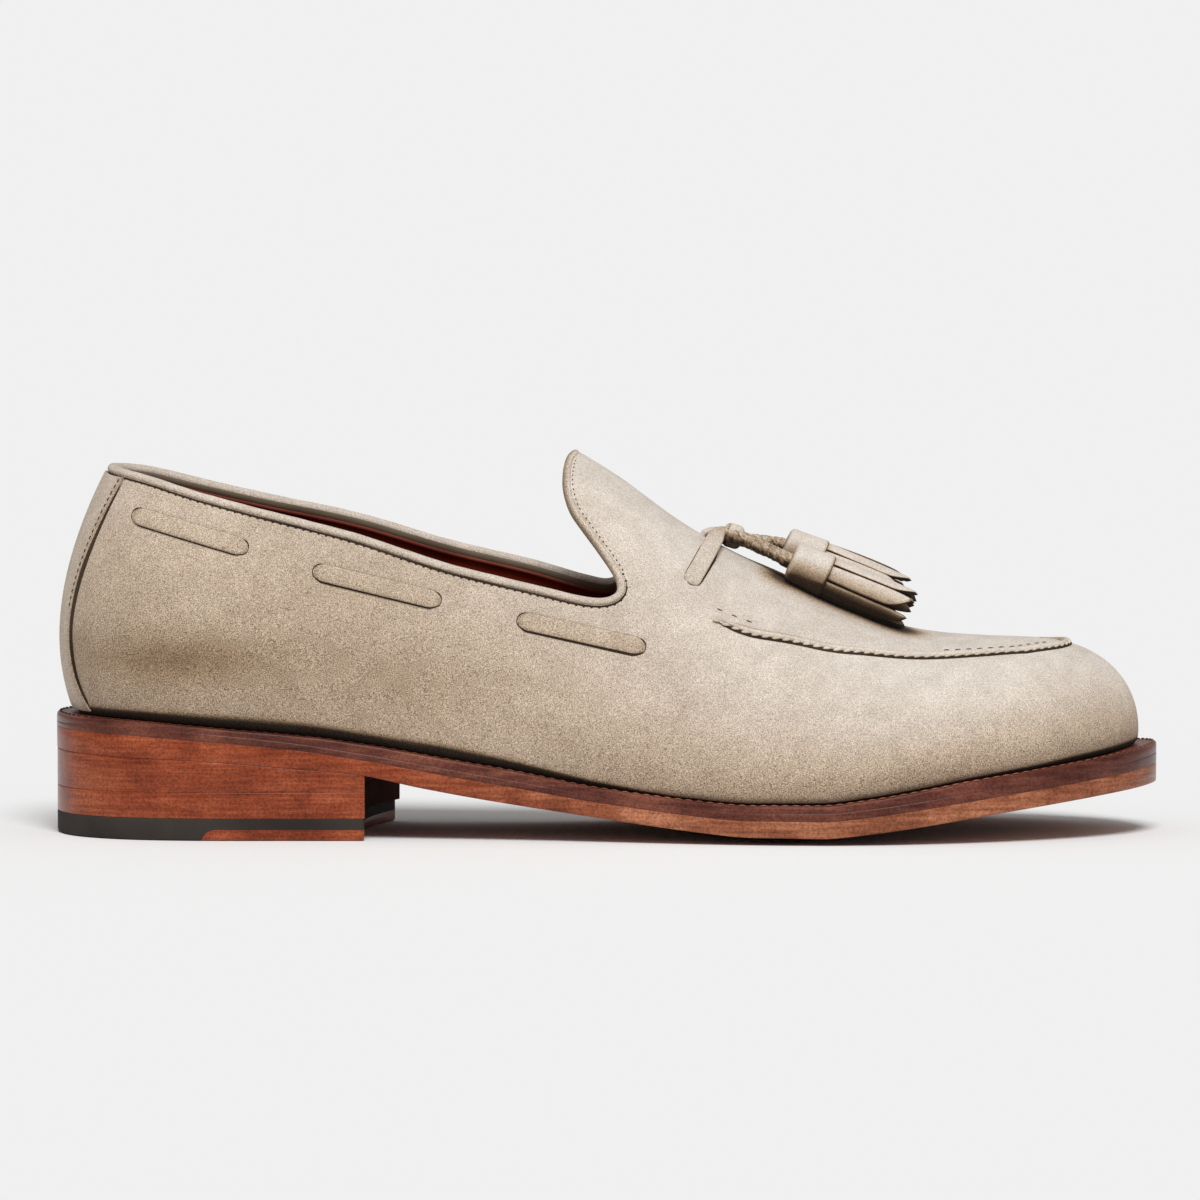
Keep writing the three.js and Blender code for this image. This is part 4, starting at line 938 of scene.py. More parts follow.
# One strip of a fringe: it follows the tassel's round, flares outwards and ends in a pointed tip.
def fringeStrip(base, axis, radius, width, length, angle, slant, flare, twist, shade):
    look = tasselLook
    sideways = unit(np.cross(axis, [0, 0, 1.0]))
    upward = np.cross(sideways, axis)

    def placeAt(u, v):
        along = v * length
        closing = np.clip((v - look["pointFrom"]) / (1 - look["pointFrom"]), 0, 1) ** 2
        halfWidth = width / 2 * (0.94 + 0.06 * np.clip(v * 3, 0, 1)) * (1 - closing * look["pointNarrow"])
        c, s = circleAt(u)
        ends = np.where((v < 1e-6) | (v > 1 - 1e-6), 0.0, 1.0)
        a = halfWidth * squarer(c, 0.35) * ends + slant * closing * width * look["slant"]
        b = look["stripThickness"] / 2 * squarer(s, 0.6) * ends
        flattened = 1 - look["flattened"] * max(0, -math.cos(angle)) * v
        reach = radius * (1 + flare * np.sin(v * 2.2)) * flattened + b
        turn = angle + a / radius * 0.9 + twist * v * v
        out = sideways[None, :] * np.sin(turn)[:, None] + upward[None, :] * np.cos(turn)[:, None]
        # Painted shade on the strips' inner faces and near the head's rim; their cut edges are darker.
        cutEdge = np.clip((np.abs(c) - 0.72) / 0.15, 0, 1) * look["edgeTone"]
        nearHead = look["headTone"] * np.clip(1 - along / look["headShade"], 0, 1)
        tone = np.maximum.reduce([cutEdge, np.where(s < -0.05, look["insideTone"], shade), nearHead])
        return base + axis[None, :] * along[:, None] + out * reach[:, None], tone

    strip = gridPiece("strip", 20, 24, placeAt)
    mergeSeams(strip)
    return strip


# The head's tone is painted shade where the cord goes in and at its rim over the strips.
headProfile = [  # along, radius, tone
    (0, 0, 0.7), (0.02, 0.5, 0.5), (0.035, 0.8, 0.2), (0.07, 0.94, 0), (0.14, 1, 0), (0.3, 1.01, 0),
    (0.5, 1.04, 0), (0.7, 1.07, 0), (0.9, 1.1, 0), (0.96, 1.1, 0.3), (0.985, 1.07, 0.85), (1, 0.9, 1), (1, 0, 1),
]


# Adds painted shade where the surface faces sideways and down.
def shadeBelow(piece, amount):
    tones = np.empty(len(piece.data.vertices))
    layer = piece.data.attributes["tone"].data
    layer.foreach_get("value", tones)
    tones += amount * np.clip(0.5 - vectorsOf(piece.data.vertex_normals, "vector")[:, 2], 0, 1)
    layer.foreach_set("value", np.clip(tones, 0, 1).astype(np.float32))


# A wrapped head, and two rings of strips that hang from under it.
def makeTassel(name, look):
    top = tasselTop(tassels[name])
    radius = look["headDiameter"] / 2
    rows = np.array(headProfile)
    path = top + tasselAxis * (rows[:, :1] * look["headLength"])
    path[-1] += tasselAxis * 0.02

    def headSection(u, v):
        i = rowAt(v, len(rows))
        overlap = 1 + look["wrapStep"] * np.clip(((u + 0.05 * rows[i, 0] + 0.38) % 1.0) * 1.1 - 0.1, 0, 1)
        reach = radius * rows[i, 1] * overlap
        c, s = circleAt(u)
        return reach * c, reach * s, rows[i, 2]

    parts = [sweepPiece("head", path, upright(len(path)), look["around"], headSection)]
    base = top + tasselAxis * (look["headLength"] - look["stripInHead"])
    for count, share, shorter, flare, phase, shade in look["strips"]:
        for i in range(count):
            angle = (i + phase) / count * 2 * math.pi
            stripRadius = radius * share
            width = 2 * math.pi * stripRadius / count * look["stripWider"]
            length = look["fringeLength"] + 1 - shorter - random.uniform(0, look["uneven"])
            parts.append(fringeStrip(
                base, tasselAxis, stripRadius, width, length, angle, random.choice((-1, 1, 0.5)),
                flare + random.uniform(0.0, look["splay"]), random.uniform(-look["twist"], look["twist"]), shade,
            ))
    tassel = joinPieces(parts, f"tassel_{name}_suede")
    shadeBelow(tassel, look["below"])
    return finishPiece(tassel, closeSuede, (f"tassel_{name}",), 50)


knot = makeKnot(knotLook)
for name, side in shoeSides:
    cord, path = makeCord(name, side, cordLook)
    tassel = makeTassel(name, tasselLook)
    print("cord", name, "is", round(lengthOf(path), 1), "mm long")
print("lace ends, knot and tassels made")

# Upper

# Painted light and shade on the upper: darker on the sides, towards the heel, low down, in the crease over the
# welt, in the troughs and under the tassels.
upperLook = {
    "columns": 330, "rows": 80, "suedeThickness": 1.2, "liningThickness": 0.78, "cutBelowEdge": 1.6,
    "litAbove": 0.75, "litSpan": 1.2, "darkest": 0.64, "sideTone": 0.52, "creaseTone": 0.95,
    "heelTone": 0.1, "heelFade": (-20, -110), "lowTone": 0.2, "lowHeight": 7, "lowFade": (-60, 20),  # from x, to x
    "crease": [  # along, height
        (0.0, 2.2), (0.06, 2.4), (0.2, 3.2), (0.3, 2.9), (0.36, 3.2), (0.43, 2.3), (0.5, 1.3), (0.57, 0.5),
        (0.75, 0.5), (0.86, 0.8), (0.94, 1.6), (1.0, 1.8),
    ],
    "tasselShade": {"reach": 3.4, "tone": 0.95},
    # Each trough dents the surface by depth and adds painted shade by tone.
    "troughs": (
        {"x": -114, "z": 48.5, "length": 26, "height": 6.5, "depth": 0.8, "tone": 0.22},
        {"x": -48, "z": 43, "length": 24, "height": 9, "depth": 0.3, "tone": 0.08},
    ),
}


def troughAt(points, look):
    away = ((points[:, 0] - look["x"]) / look["length"]) ** 2 + ((points[:, 2] - look["z"]) / look["height"]) ** 2
    return np.exp(-away)


def fadeAt(x, ends):
    return np.clip((x - ends[0]) / (ends[1] - ends[0]), 0, 1)


def lastSkin(u, v):
    side, t = halfOf(u)
    s = np.where(v > 0.9999, 1, 0.92 * v ** 1.35 + 0.08 * v)
    points = lastPoint(side, t, s)
    depth = sum(troughAt(points, trough) * trough["depth"] for trough in upperLook["troughs"])
    return points - lastNormal(side, t, s) * depth[:, None]


def collarCutter(side):
    line = collarPoints(side, upperLook["cutBelowEdge"])[::2]
    end = line[-1] + unit(line[-1] - line[-4]) * 16
    far = float(shoeLength)
    ring = [(-far, line[0][1])] + [tuple(p) for p in line] + [tuple(end), (end[0], far), (-far, far)]
    split = float(ridgeY(collarLine[-1][0]))
    ys = (split - 120, split + 0.005) if side < 0 else (split - 0.005, split + 120)
    return sideBlock("cutter", ring, *ys)


def cutCollar(piece):
    for name, side in shoeSides:
        cutter = collarCutter(side)
        applyModifier(piece, "BOOLEAN", operation="DIFFERENCE", object=cutter, solver="EXACT")
        bpy.data.objects.remove(cutter)


# Painted light and shade: the suede is darker on the sides, towards the heel, low over the welt and down in the
# crease, in the troughs and under the tassels.
def shadeUpper(piece, look):
    points = vectorsOf(piece.data.vertices, "co") / mm
    upward = vectorsOf(piece.data.vertex_normals, "vector")[:, 2]
    height = np.maximum(points[:, 2] - weltEdge(points[:, 0]), 0)
    tone = look["sideTone"] * np.clip((look["litAbove"] - upward) / look["litSpan"], 0, look["darkest"])
    tone += look["heelTone"] * fadeAt(points[:, 0], look["heelFade"])
    tone += look["lowTone"] * np.exp(-height / look["lowHeight"]) * fadeAt(points[:, 0], look["lowFade"])
    crease = smoothColumn(look["crease"], 1)(alongOf(points[:, 0]))
    tone += look["creaseTone"] * np.exp(-(height / crease) ** 4)
    tone += sum(trough["tone"] * troughAt(points, trough) for trough in look["troughs"])
    size = tasselLook["headLength"] + tasselLook["fringeLength"]
    for tassel in tassels.values():
        along = np.clip((points - tasselTop(tassel)) @ tasselAxis, 1, size - 3)
        fromAxis = points - tasselTop(tassel) - along[:, None] * tasselAxis
        away = np.linalg.norm(fromAxis, axis=1) - tasselLook["headDiameter"] / 2
        shade = np.exp(-(np.maximum(away, 0) / look["tasselShade"]["reach"]) ** 2)
        tone += look["tasselShade"]["tone"] * shade * np.clip(-fromAxis[:, 2] / 2, 0, 1)
    setTone(piece, tone)


def makeUpper(look):
    outerSkin = gridPiece("upper_suede", look["columns"], look["rows"], lastSkin)
    mergeSeams(outerSkin, turnOut=False)
    activate(outerSkin)
    bpy.ops.object.duplicate()
    liner = bpy.context.object
    liner.name = liner.data.name = "upper_lining"
    applyModifier(liner, "DISPLACE", strength=-(look["suedeThickness"] + 0.02) * mm, mid_level=0)
    applyModifier(liner, "SOLIDIFY", thickness=look["liningThickness"] * mm, offset=-1)
    applyModifier(outerSkin, "SOLIDIFY", thickness=look["suedeThickness"] * mm, offset=-1)
    for piece in (outerSkin, liner):
        cutCollar(piece)
    shadeUpper(outerSkin, look)
    finishPiece(outerSkin, suede, ("upper",), 50)
    finishPiece(liner, lining, (), 50)


makeUpper(upperLook)
print("upper made")

# Binding round the collar, with the roll of the lining under it and a grey-brown band of painted shade where the
# binding turns in

bindingLook = {
    "height": 2.6, "tongueHeight": 1.9, "width": 3.3, "steps": 420, "samples": 300, "edgeLine": 0.3,
    "tone": 0.1, "lowerTone": 0.4, "tongueLowerTone": 0.2, "tongueUpperTone": 0.35,
    "waves": ((0.02, 140, 0), (0.015, 333, 1)),  # share of the width, turns, start
    "lining": (  # name, inward, depth, radius, flatness, material
        ("turned_in_shade_band", 1.75, 0.74, 0.92, 0.16, turnedInShade), ("lining_roll", 3.15, 0.5, 0.68, 0.7, liningRoll),
    ),
    "collarStitch": {"pitch": 2.1, "length": 0.95, "width": 0.75, "height": 0.3, "lift": 0.0},
    "tongueStitch": {"pitch": 1.6, "length": 0.7, "width": 0.34, "height": 0.25, "lift": 0.0},
}


# Loop round the collar, this far inside its edge, with its share of the way on to the tongue.
def collarLoop(inward, onTongue=None):
    count = bindingLook["samples"]
    halves = []
    for name, side in shoeSides:
        turn = int(np.argmax(collarPoints(side, 0, count)[:, 0]))
        share = np.clip((np.arange(count) - turn + 10) / 30, 0, 1)
        inset = inward + (0 if onTongue is None else (onTongue - inward) * share)
        line = np.column_stack([collarPoints(side, np.reshape(inset, (-1, 1)), count), share])
        line = line[(line[:, 1] < crownZ(line[:, 0]) - 0.25)]
        points, normals, t = onLast(side, line[:, 0], line[:, 1])
        keep = (t > 0.004) & (points[:, 0] > 1 - shoeLength / 2)
        halves.append(np.hstack([points, normals, line[:, 2:]])[keep])
    both = spaced(np.vstack([halves[0], halves[1][::-1]]), bindingLook["steps"], True)
    for _ in range(6):
        both = (np.roll(both, 1, axis=0) + 2 * both + np.roll(both, -1, axis=0)) / 4
    return both[:, :3], unit(both[:, 3:6]), both[:, 6]


def makeBinding(look):
    points, normals, tongue = collarLoop(look["height"] / 2, look["tongueHeight"] / 2)
    tongue = np.append(tongue, tongue[0])

    def section(u, v):
        onTongue = tongue[rowAt(v, len(tongue))]
        half = (look["height"] + (look["tongueHeight"] - look["height"]) * onTongue) / 2
        c, s = circleAt(u)
        soft = 1 + sum(size * np.sin(v * turns + begin) for size, turns, begin in look["waves"])
        # Painted shade on the bead's lower side; on the tongue its upper side is darker too.
        lower = look["lowerTone"] + (look["tongueLowerTone"] - look["lowerTone"]) * onTongue
        tone = look["tone"] + lower * np.clip(-c, 0, 1) ** 1.5 * (s > -0.2)
        tone += look["tongueUpperTone"] * onTongue * np.clip(c, 0, 1)
        return half * squarer(c, 0.9) * soft, look["width"] / 2 * squarer(s, 0.9) * soft, tone

    binding = sweepPiece("collar_binding", points - normals * (wall / 2), normals, 18, section, closed=True)
    finishPiece(binding, suede, ("topline_binding",), 60)
    under, out, tongue = collarLoop(look["height"] + 0.05, look["tongueHeight"] + 0.05)
    onTongue = tongue > 0.5
    first, last = int(np.argmax(onTongue)), len(onTongue) - int(np.argmax(onTongue[::-1]))
    ring = np.r_[last:len(under), 0:first]
    # A thin dark line of painted shade in the crease under the bead.
    roundLine("collar_edge_shade_line", under[ring], out[ring], look["edgeLine"], darkThreadAndShade)
    stitchRow("collar_stitches", under[ring] - [0, 0, 0.3], out[ring], look["collarStitch"], darkThreadAndShade)
    dots, dotsOut, _ = collarLoop(look["height"] + 0.3, look["tongueHeight"] + 0.4)
    stitchRow("tongue_stitches", dots[first:last], dotsOut[first:last], look["tongueStitch"], darkThreadAndShade)
    for name, inward, depth, radius, flatness, material in look["lining"]:
        loop, loopOut, _ = collarLoop(inward)
        roundLine(name, loop - loopOut * (wall + depth), loopOut, radius, material, True, flatness)


makeBinding(bindingLook)
print("binding made")

# Strip over the back seam

backStripLook = {
    "columns": 40, "rows": 60, "thickness": 0.6, "bevel": 0.35, "belowEdge": 2.3, "footRise": 0.012,
    "tone": 0.2, "edgeTone": 0.25, "seamTone": 0.4, "stitchInset": 1.7,
    "stitch": {"pitch": 1.8, "length": 1.2, "width": 0.34, "height": 0.3, "lift": 0.04},
    "groove": [(0.0, 0.4), (0.3, 0.6), (0.6, 0.8), (0.85, 0.4), (1.0, 0.12)],  # share of the way up, radius
}


def makeBackStrip(look):
    reachAt = smoothColumn(backStripEdge, 1)
    footZ = float(weltEdge(xAt(0.04))) + gap
    edge = collarPoints(-1, 0)
    outer, back = np.array([-1]), np.zeros(1)
    topRise = collarLine[0][1]
    topReach = float(reachAt(topRise))
    backTop = float(lastPoint(outer, back, sFor(outer, back, footZ + np.array([topRise * instepRise])))[0, 0])

    # f goes across from -1 to 1, v up, and inset is in millimetres from the strip's edge.
    def stripPlace(f, v, lift, inset=0.0):
        topZ = np.interp(backTop + np.abs(f) * topReach * shoeLength, edge[:, 0], edge[:, 1]) - look["belowEdge"]
        rise = look["footRise"] + ((topZ - footZ) / instepRise - look["footRise"]) * v
        z = footZ + rise * instepRise
        made, out = np.zeros((len(v), 3)), np.zeros((len(v), 3))
        for name, side in shoeSides:
            mine = (f < 0) if side < 0 else (f >= 0)
            if not mine.any():
                continue
            zs, n = z[mine], int(mine.sum())
            sides, middle = np.full(n, side), np.zeros(n)
            backX = lastPoint(sides, middle, sFor(sides, middle, zs))[:, 0]
            edgeT = tFor(sides, backX + reachAt(rise[mine]) * shoeLength, zs, heelFanShare)
            t = np.maximum(edgeT - inset / 250, 0) * np.abs(f[mine])
            s = sFor(sides, t, zs)
            out[mine] = lastNormal(sides, np.maximum(t, 0.004), s)
            made[mine] = lastPoint(sides, t, s) + out[mine] * lift
        return made, out

    def stripGrid(u, v):
        f = 2 * u - 1
        # Painted shade down the middle of the back; darker towards its edges.
        edges = look["edgeTone"] * np.clip((np.abs(f) - 0.75) / 0.25, 0, 1) ** 2
        return stripPlace(f, v, 0.05)[0], look["tone"] + edges + look["seamTone"] * np.exp(-(f / 0.07) ** 2)

    strip = gridPiece("back_strip_suede", look["columns"], look["rows"], stripGrid)
    applyModifier(strip, "SOLIDIFY", thickness=look["thickness"] * mm, offset=-1)
    mergeSeams(strip)
    applyModifier(strip, "BEVEL", width=look["bevel"] * mm, segments=3, limit_method="ANGLE")
    finishPiece(strip, suede, ("back_strip",), 50)
    v = np.linspace(0.02, 0.985, 90)
    for name, side in shoeSides:
        f = np.full(len(v), side * 1.0)
        path, out = stripPlace(f, v, look["thickness"] + 0.05, look["stitchInset"])
        stitchRow(f"back_strip_stitches_{name}", path[40:], out[40:], look["stitch"], darkThreadAndShade)
        # A dark line of painted shade in the groove along each side edge of the strip.
        groove, out = stripPlace(f, v, 0.0, -look["bevel"])
        roundLine(f"back_strip_groove_{name}", groove, out, smoothColumn(look["groove"], 1), darkThreadAndShade)


makeBackStrip(backStripLook)
print("back strip made")

# Apron seam

seamLook = {
    "width": 2.3, "height": 1.0, "steps": 900, "threadOut": 1.25, "grooveOut": 1.35, "rowIn": 3.0,
    "grooveRadius": 0.75, "grooveFlatness": 0.45, "rowRuns": ((30.0, 38.5), (92.0, 119.0)),  # from x, to x
    "steeper": 0.55, "sunk": 0.3, "runOut": 25, "tone": 0.12, "outerTone": 0.5, "darkest": 0.42,
    "whip": {"pitch": 2.75, "length": 2.3, "width": 0.95, "height": 0.75, "lift": 0.4, "turn": 16},
    "row": {"pitch": 2.6, "length": 1.8, "width": 0.22, "height": 0.22, "lift": 0.06},
}


def seamPath(count):
    rows = [(toeFanShare + (1 - toeFanShare) * fan if fan else tOf(a), level) for a, fan, level in seamLine]
    levelAt = smoothColumn(rows, 1)
    t = np.linspace(rows[0][0], 1, count)
    s = np.arcsin(levelAt(t) ** (wallPowerAt(station(1, t)[4]) / 2)) * 2 / math.pi
    halves = []
    for name, side in shoeSides:
        sides = np.full(count, side)
        halves.append(np.hstack([lastPoint(sides, t, s), lastNormal(sides, np.minimum(t, 0.998), s)]))
    return np.vstack([halves[0], halves[1][::-1][1:]])


# The lip stands up at its outer edge, where the whip stitches go over it, and slopes away inwards.
def makeSeam(look):
    both = spaced(seamPath(160), look["steps"])
    points, normals = both[:, :3], unit(both[:, 3:])
    inward = unit(np.cross(normals, np.gradient(points, axis=0)))

    def section(u, v):
        taper = np.clip(np.minimum(v, 1 - v) * look["runOut"], 0.0, 1)
        c, s = circleAt(u)
        top = (0.1 + look["height"] * s * (1 - look["steeper"] * c)) * taper
        # Painted shade darkens the lip towards its outer side.
        tone = np.clip(look["outerTone"] * c + look["tone"], 0, look["darkest"])
        return look["width"] / 2 * c * taper, np.where(s < 0, -look["sunk"], top), tone

    seam = sweepPiece("apron_seam_suede", points, normals, 16, section)
    finishPiece(seam, suede, ("apron_seam",), 60)
    part, middle = slice(2, -2), look["steps"] // 2
    # A dark line of painted shade in the groove under the lip.
    groove = (points - inward * look["grooveOut"] + normals * 0.1)[part]
    roundLine("apron_seam_groove", groove, normals[part], look["grooveRadius"], darkThreadAndShade,
              flatness=look["grooveFlatness"])
    whips = (points - inward * look["threadOut"])[part]
    stitchRow("apron_whip_stitches", whips, normals[part], look["whip"], thread)
    row = points + inward * look["rowIn"]
    for number, (low, high) in enumerate(look["rowRuns"]):
        for side, half in (("outer", slice(0, middle)), ("inner", slice(middle, None))):
            keep = (row[half, 0] > low) & (row[half, 0] < high)
            stitchRow(f"apron_row_{side}_{number}", row[half][keep], normals[half][keep], look["row"], darkThreadAndShade)


makeSeam(seamLook)
print("apron seam made")

# Lace bars

barLook = {
    "width": 4.9, "thickness": 0.9, "around": 18, "steps": 60, "dip": 1.2, "point": 3.6, "tip": 0.42,
    "corner": 0.5, "lift": 0.1, "sinkLength": 3, "slitGap": 0.05, "thinnest": 0.02,
    "lowerShade": {"rear": 0.14, "middle": 0.26, "front": 0.34}, "lowerFade": 3, "endShade": 0.1, "endFade": 2.6,
    "cornerShade": 0.26, "cornerAt": 1.3, "cornerSpread": 0.8, "tone": 0.29, "lowTone": 0.12, "endTone": 0.2,
}


# How wide the bar still is, this far from its end, as a share: its corners are cut off and rounded.
def barTaper(fromEnd, look):
    pointed = look["tip"] + (1 - look["tip"]) * np.sin(np.clip(fromEnd / look["point"], 0, 1) * math.pi / 2)
    return pointed * np.sqrt(1 - (1 - np.clip(fromEnd / look["corner"], 0, 1)) ** 2)


# The slit and the shade along the bar's lower edge and ends, as one thin line that swells and fades.
def barShadow(name, side, start, end, look, lowerShade):
    size = np.linalg.norm(end - start)
    ahead = (end - start) / size
    above = np.array([-ahead[1], ahead[0]])
    point = look["point"]
    middle = np.linspace(point, size - point, 60)[1:-1]
    f = np.concatenate([np.linspace(0, point, 24), middle, np.linspace(size - point, size, 24)])
    half = look["width"] / 2 * barTaper(np.minimum(f, size - f), look) + look["slitGap"]
    lower, upper = (np.column_stack([f, h, np.full(len(f), k)]) for h, k in ((-half, 1), (half, 0)))
    ring = spaced(np.vstack([lower, upper[::-1][1:-1]]), 170, True)
    fromEnd = np.minimum(ring[:, 0], size - ring[:, 0])
    corners = np.exp(-((fromEnd - look["cornerAt"]) / look["cornerSpread"]) ** 2) * (ring[:, 2] < 0.5)
    radius = look["thinnest"] + lowerShade * ring[:, 2] * np.clip(fromEnd / look["lowerFade"], 0, 1)
    radius += look["endShade"] * np.clip(1 - fromEnd / look["endFade"], 0, 1) + look["cornerShade"] * corners
    radius = np.append(radius, radius[0])
    flat = start + ring[:, :1] * ahead + ring[:, 1:2] * above
    points, normals, _ = onLast(side, flat[:, 0], flat[:, 1])
    roundLine(f"{name}_slit", points, normals, lambda v: radius[rowAt(v, len(radius))], darkThreadAndShade, closed=True)


def makeBar(name, side, row, look, lowerShade):
    x0, x1 = xAt(row[0]), xAt(row[2])
    start, end = np.array([x0, riseZ(x0, row[1])]), np.array([x1, riseZ(x1, row[3])])
    f = np.linspace(0, 1, look["steps"])
    f = f - 0.16 * np.sin(2 * math.pi * f) / math.pi  # closer together at the ends
    points, normals = lineOnLast(side, start, end, f)
    fromEnd = np.minimum(f, 1 - f) * lengthOf(points)
    dip = np.clip(1 - fromEnd / look["sinkLength"], 0, 1) ** 2 * look["dip"]
    path = points + normals * (look["thickness"] / 2 + look["lift"] - dip).reshape(-1, 1)

    def section(u, v):
        i = rowAt(v, len(f))
        taper = barTaper(fromEnd[i], look)
        c, s = circleAt(u)
        a = look["width"] / 2 * squarer(c, 0.45) * taper
        b = look["thickness"] / 2 * squarer(s, 0.7) * (0.3 + 0.7 * taper) * np.where(taper < 1e-6, 0, 1)
        # Painted shade on the bar's lower side and where its ends dip.
        tone = look["tone"] + look["lowTone"] * np.clip(side * c, 0, 1)
        return a, b, tone + look["endTone"] * np.clip(1 - fromEnd[i] / 2, 0, 1)

    bar = sweepPiece(f"{name}_suede", path, normals, look["around"], section)
    finishPiece(bar, suede, (name,), 60)
    barShadow(name, side, start, end, look, lowerShade)


# Painted shadow: a dark line round the slit end of the strap that goes up to the knot.
def strapShadow(name, side, look):
    start, end = strapEnds(look)
    size = np.linalg.norm(end - start)
    ahead = (end - start) / size
    across = np.array([ahead[1], -ahead[0]])
    half = look["width"] / 2 + barLook["slitGap"]
    turn = np.linspace(-math.pi / 2, math.pi / 2, 16)[1:-1]
    sides = np.linspace(size * look["outlined"], half, 20)
    a = np.concatenate([sides, half - half * np.cos(turn), sides[::-1]])
    b = np.concatenate([np.full(20, half), -half * np.sin(turn), np.full(20, -half)])
    flat = spaced(start + a[:, None] * ahead + b[:, None] * across, 70)
    points, normals, _ = onLast(side, flat[:, 0], flat[:, 1])

    def radius(v):
        return look["endShade"] + look["edgeShade"] * np.clip(1 - v / 0.5, 0, 1)

    roundLine(f"lace_end_{name}_slit", points, normals, radius, darkThreadAndShade, taper=12)


for name, side in shoeSides:
    strapShadow(name, side, cordLook)
for where, side in shoeSides:
    for name, row in laceBars.items():
        makeBar(f"lace_{name}_{where}", side, row, barLook, barLook["lowerShade"][name])
print("lace bars made")

# Sole and welt

soleLook = {
    "columns": 480, "bevel": 0.3, "crownInset": 28, "weltInset": 13, "stitchInset": 0.95,
    "stitch": {"pitch": 2.9, "length": 2.2, "width": 0.62, "height": 0.36, "lift": 0.05},
}
seat = 0.02
joint = gap / 2  # each layer goes this far into its gap


# The sole's underside, this share of the way up from its flat middle to its edge.
def crownedZ(share):
    return lambda x: treadZ(x) + (edgeZ(x) - treadZ(x)) * share


def makeSole(look):
    bevel, crown, welted = look["bevel"], look["crownInset"], look["weltInset"]
    outsole = platePiece("outsole_leather", look["columns"], [
        (None, treadZ, 0), (crown, treadZ, 0), (crown / 2, crownedZ(0.35), 0), (4, crownedZ(0.85), 0),
        (bevel, edgeZ, 0), (bevel * 0.35, edgeZ, bevel * 0.3), (0.05, edgeZ, bevel),
        (0, outsoleTop, -0.1), (0.1, outsoleTop, joint), (None, outsoleTop, joint),
    ])
    finishPiece(outsole, soleEdge, ("outsole",), 35)
    midsole = platePiece("midsole_leather", look["columns"], [
        (None, outsoleTop, joint + seat), (0.12, outsoleTop, joint + seat), (0.0, outsoleTop, 0.4),
        (0, midsoleTop, 0), (0.1, midsoleTop, joint), (None, midsoleTop, joint),
    ])
    finishPiece(midsole, weltLeather, ("midsole",), 35)
    welt = platePiece("welt_leather", look["columns"] * 2, [
        (welted, midsoleTop, joint + seat), (0.1, midsoleTop, joint + seat), (0, midsoleTop, 0.4),
        (0, weltEdge, -0.8), (0.25, weltEdge, -0.25), (0.7, weltEdge, 0), (2.5, weltEdge, 0),
        (welted, weltEdge, 0), (welted, midsoleTop, joint + seat),
    ])
    finishPiece(welt, weltLeather, ("welt",), 35)
    outer, inner = (solePlan(side, np.linspace(0, 1, 500), look["stitchInset"]) for name, side in shoeSides)
    plan = np.vstack([outer, inner[::-1][1:-1]])
    path = np.column_stack([plan, weltEdge(plan[:, 0])])
    stitchRow("welt_stitches", path, upright(len(path)), look["stitch"], weltThread)


makeSole(soleLook)

# Heel

heelLook = {
    "inset": 0.12, "outerBreast": 0.282, "innerBreast": 0.31, "hollow": 4.2, "cornerCut": 1.4, "points": 260,
    "centre": (-105.0, -1.5), "rubberTop": 6.0, "lowerTop": 12.9, "tipTop": 3.0, "tipFront": 0.135, "tipCorner": 4,
    "rounded": 0.8,
}


# The heel seen from above: round the back along the sole's edge, then across its hollow front.
def heelLoop(look, cut=0.0):
    outer, inner = (
        solePlan(side, np.linspace(0, tOf(look[name + "Breast"]), 60), look["inset"]) for name, side in shoeSides
    )
    start, end = outer[-1], inner[-1] - [cut, 0]
    f = np.linspace(0, 1, 24).reshape(-1, 1)[1:-1]
    breast = start + (end - start) * f - np.array([1, 0]) * look["hollow"] * 4 * f * (1 - f)
    return spaced(np.vstack([outer, breast, [end], inner[:-1][::-1][:-1]]), look["points"], True)


def heelBody(name, bottomAt, topAt, look, cut=0.0, rounded=0.2):
    ring = heelLoop(look, cut)
    centre = np.array(look["centre"])
    rows = [  # inset, 0 for the underside or 1 for the top, height added
        (1e3, 0, 0), (4.0, 0, 0), (rounded, 0, 0), (rounded * 0.3, 0, rounded * 0.3), (0.0, 0, rounded),
        (0.0, 1, -0.5), (0.03, 1, -0.15), (0.15, 1, 0), (4.0, 1, 0), (1e3, 1, 0),
    ]

    def placeAt(u, v):
        i = np.rint(u * len(ring)).astype(int) % len(ring)
        inset, top, add = np.array(rows)[rowAt(v, len(rows))].T
        away = ring[i] - centre
        size = np.linalg.norm(away, axis=1, keepdims=True)
        plan = centre + away / size * np.maximum(size - inset[:, None], 0)
        z = np.where(top > 0.5, topAt(plan[:, 0]), bottomAt(plan[:, 0])) + add
        return np.column_stack([plan, z])

    piece = gridPiece(name, look["points"], len(rows) - 1, placeAt)
    mergeSeams(piece)
    return piece


def level(z):
    return lambda x: np.full(np.shape(x), float(z))


# Block in front of the tip's back edge, its top corner rounded, to part the rubber from the leather.
def tipBlock(look, grow):
    back, top, corner = xAt(look["tipFront"]) - grow, look["tipTop"] + grow, look["tipCorner"]
    f = np.linspace(0, 1, 10)
    curve = [(back + corner * (0.5 * k * (1 - k) + k * k), top * (2 * k * (1 - k) + k * k)) for k in f]
    profile = [(back, -5)] + curve + [(0, top), (0, -5)]
    return sideBlock("tip_block", profile, -60, 60)


# The heel's front, which is bare leather without the polish, its dark colour painted shade under the shoe.
def shadeBreast(piece):
    piece.data.materials.append(shadedBreastLeather)
    for face in piece.data.polygons:
        if face.normal.x > 0.5 and face.center.x > -0.1:
            face.material_index = 1


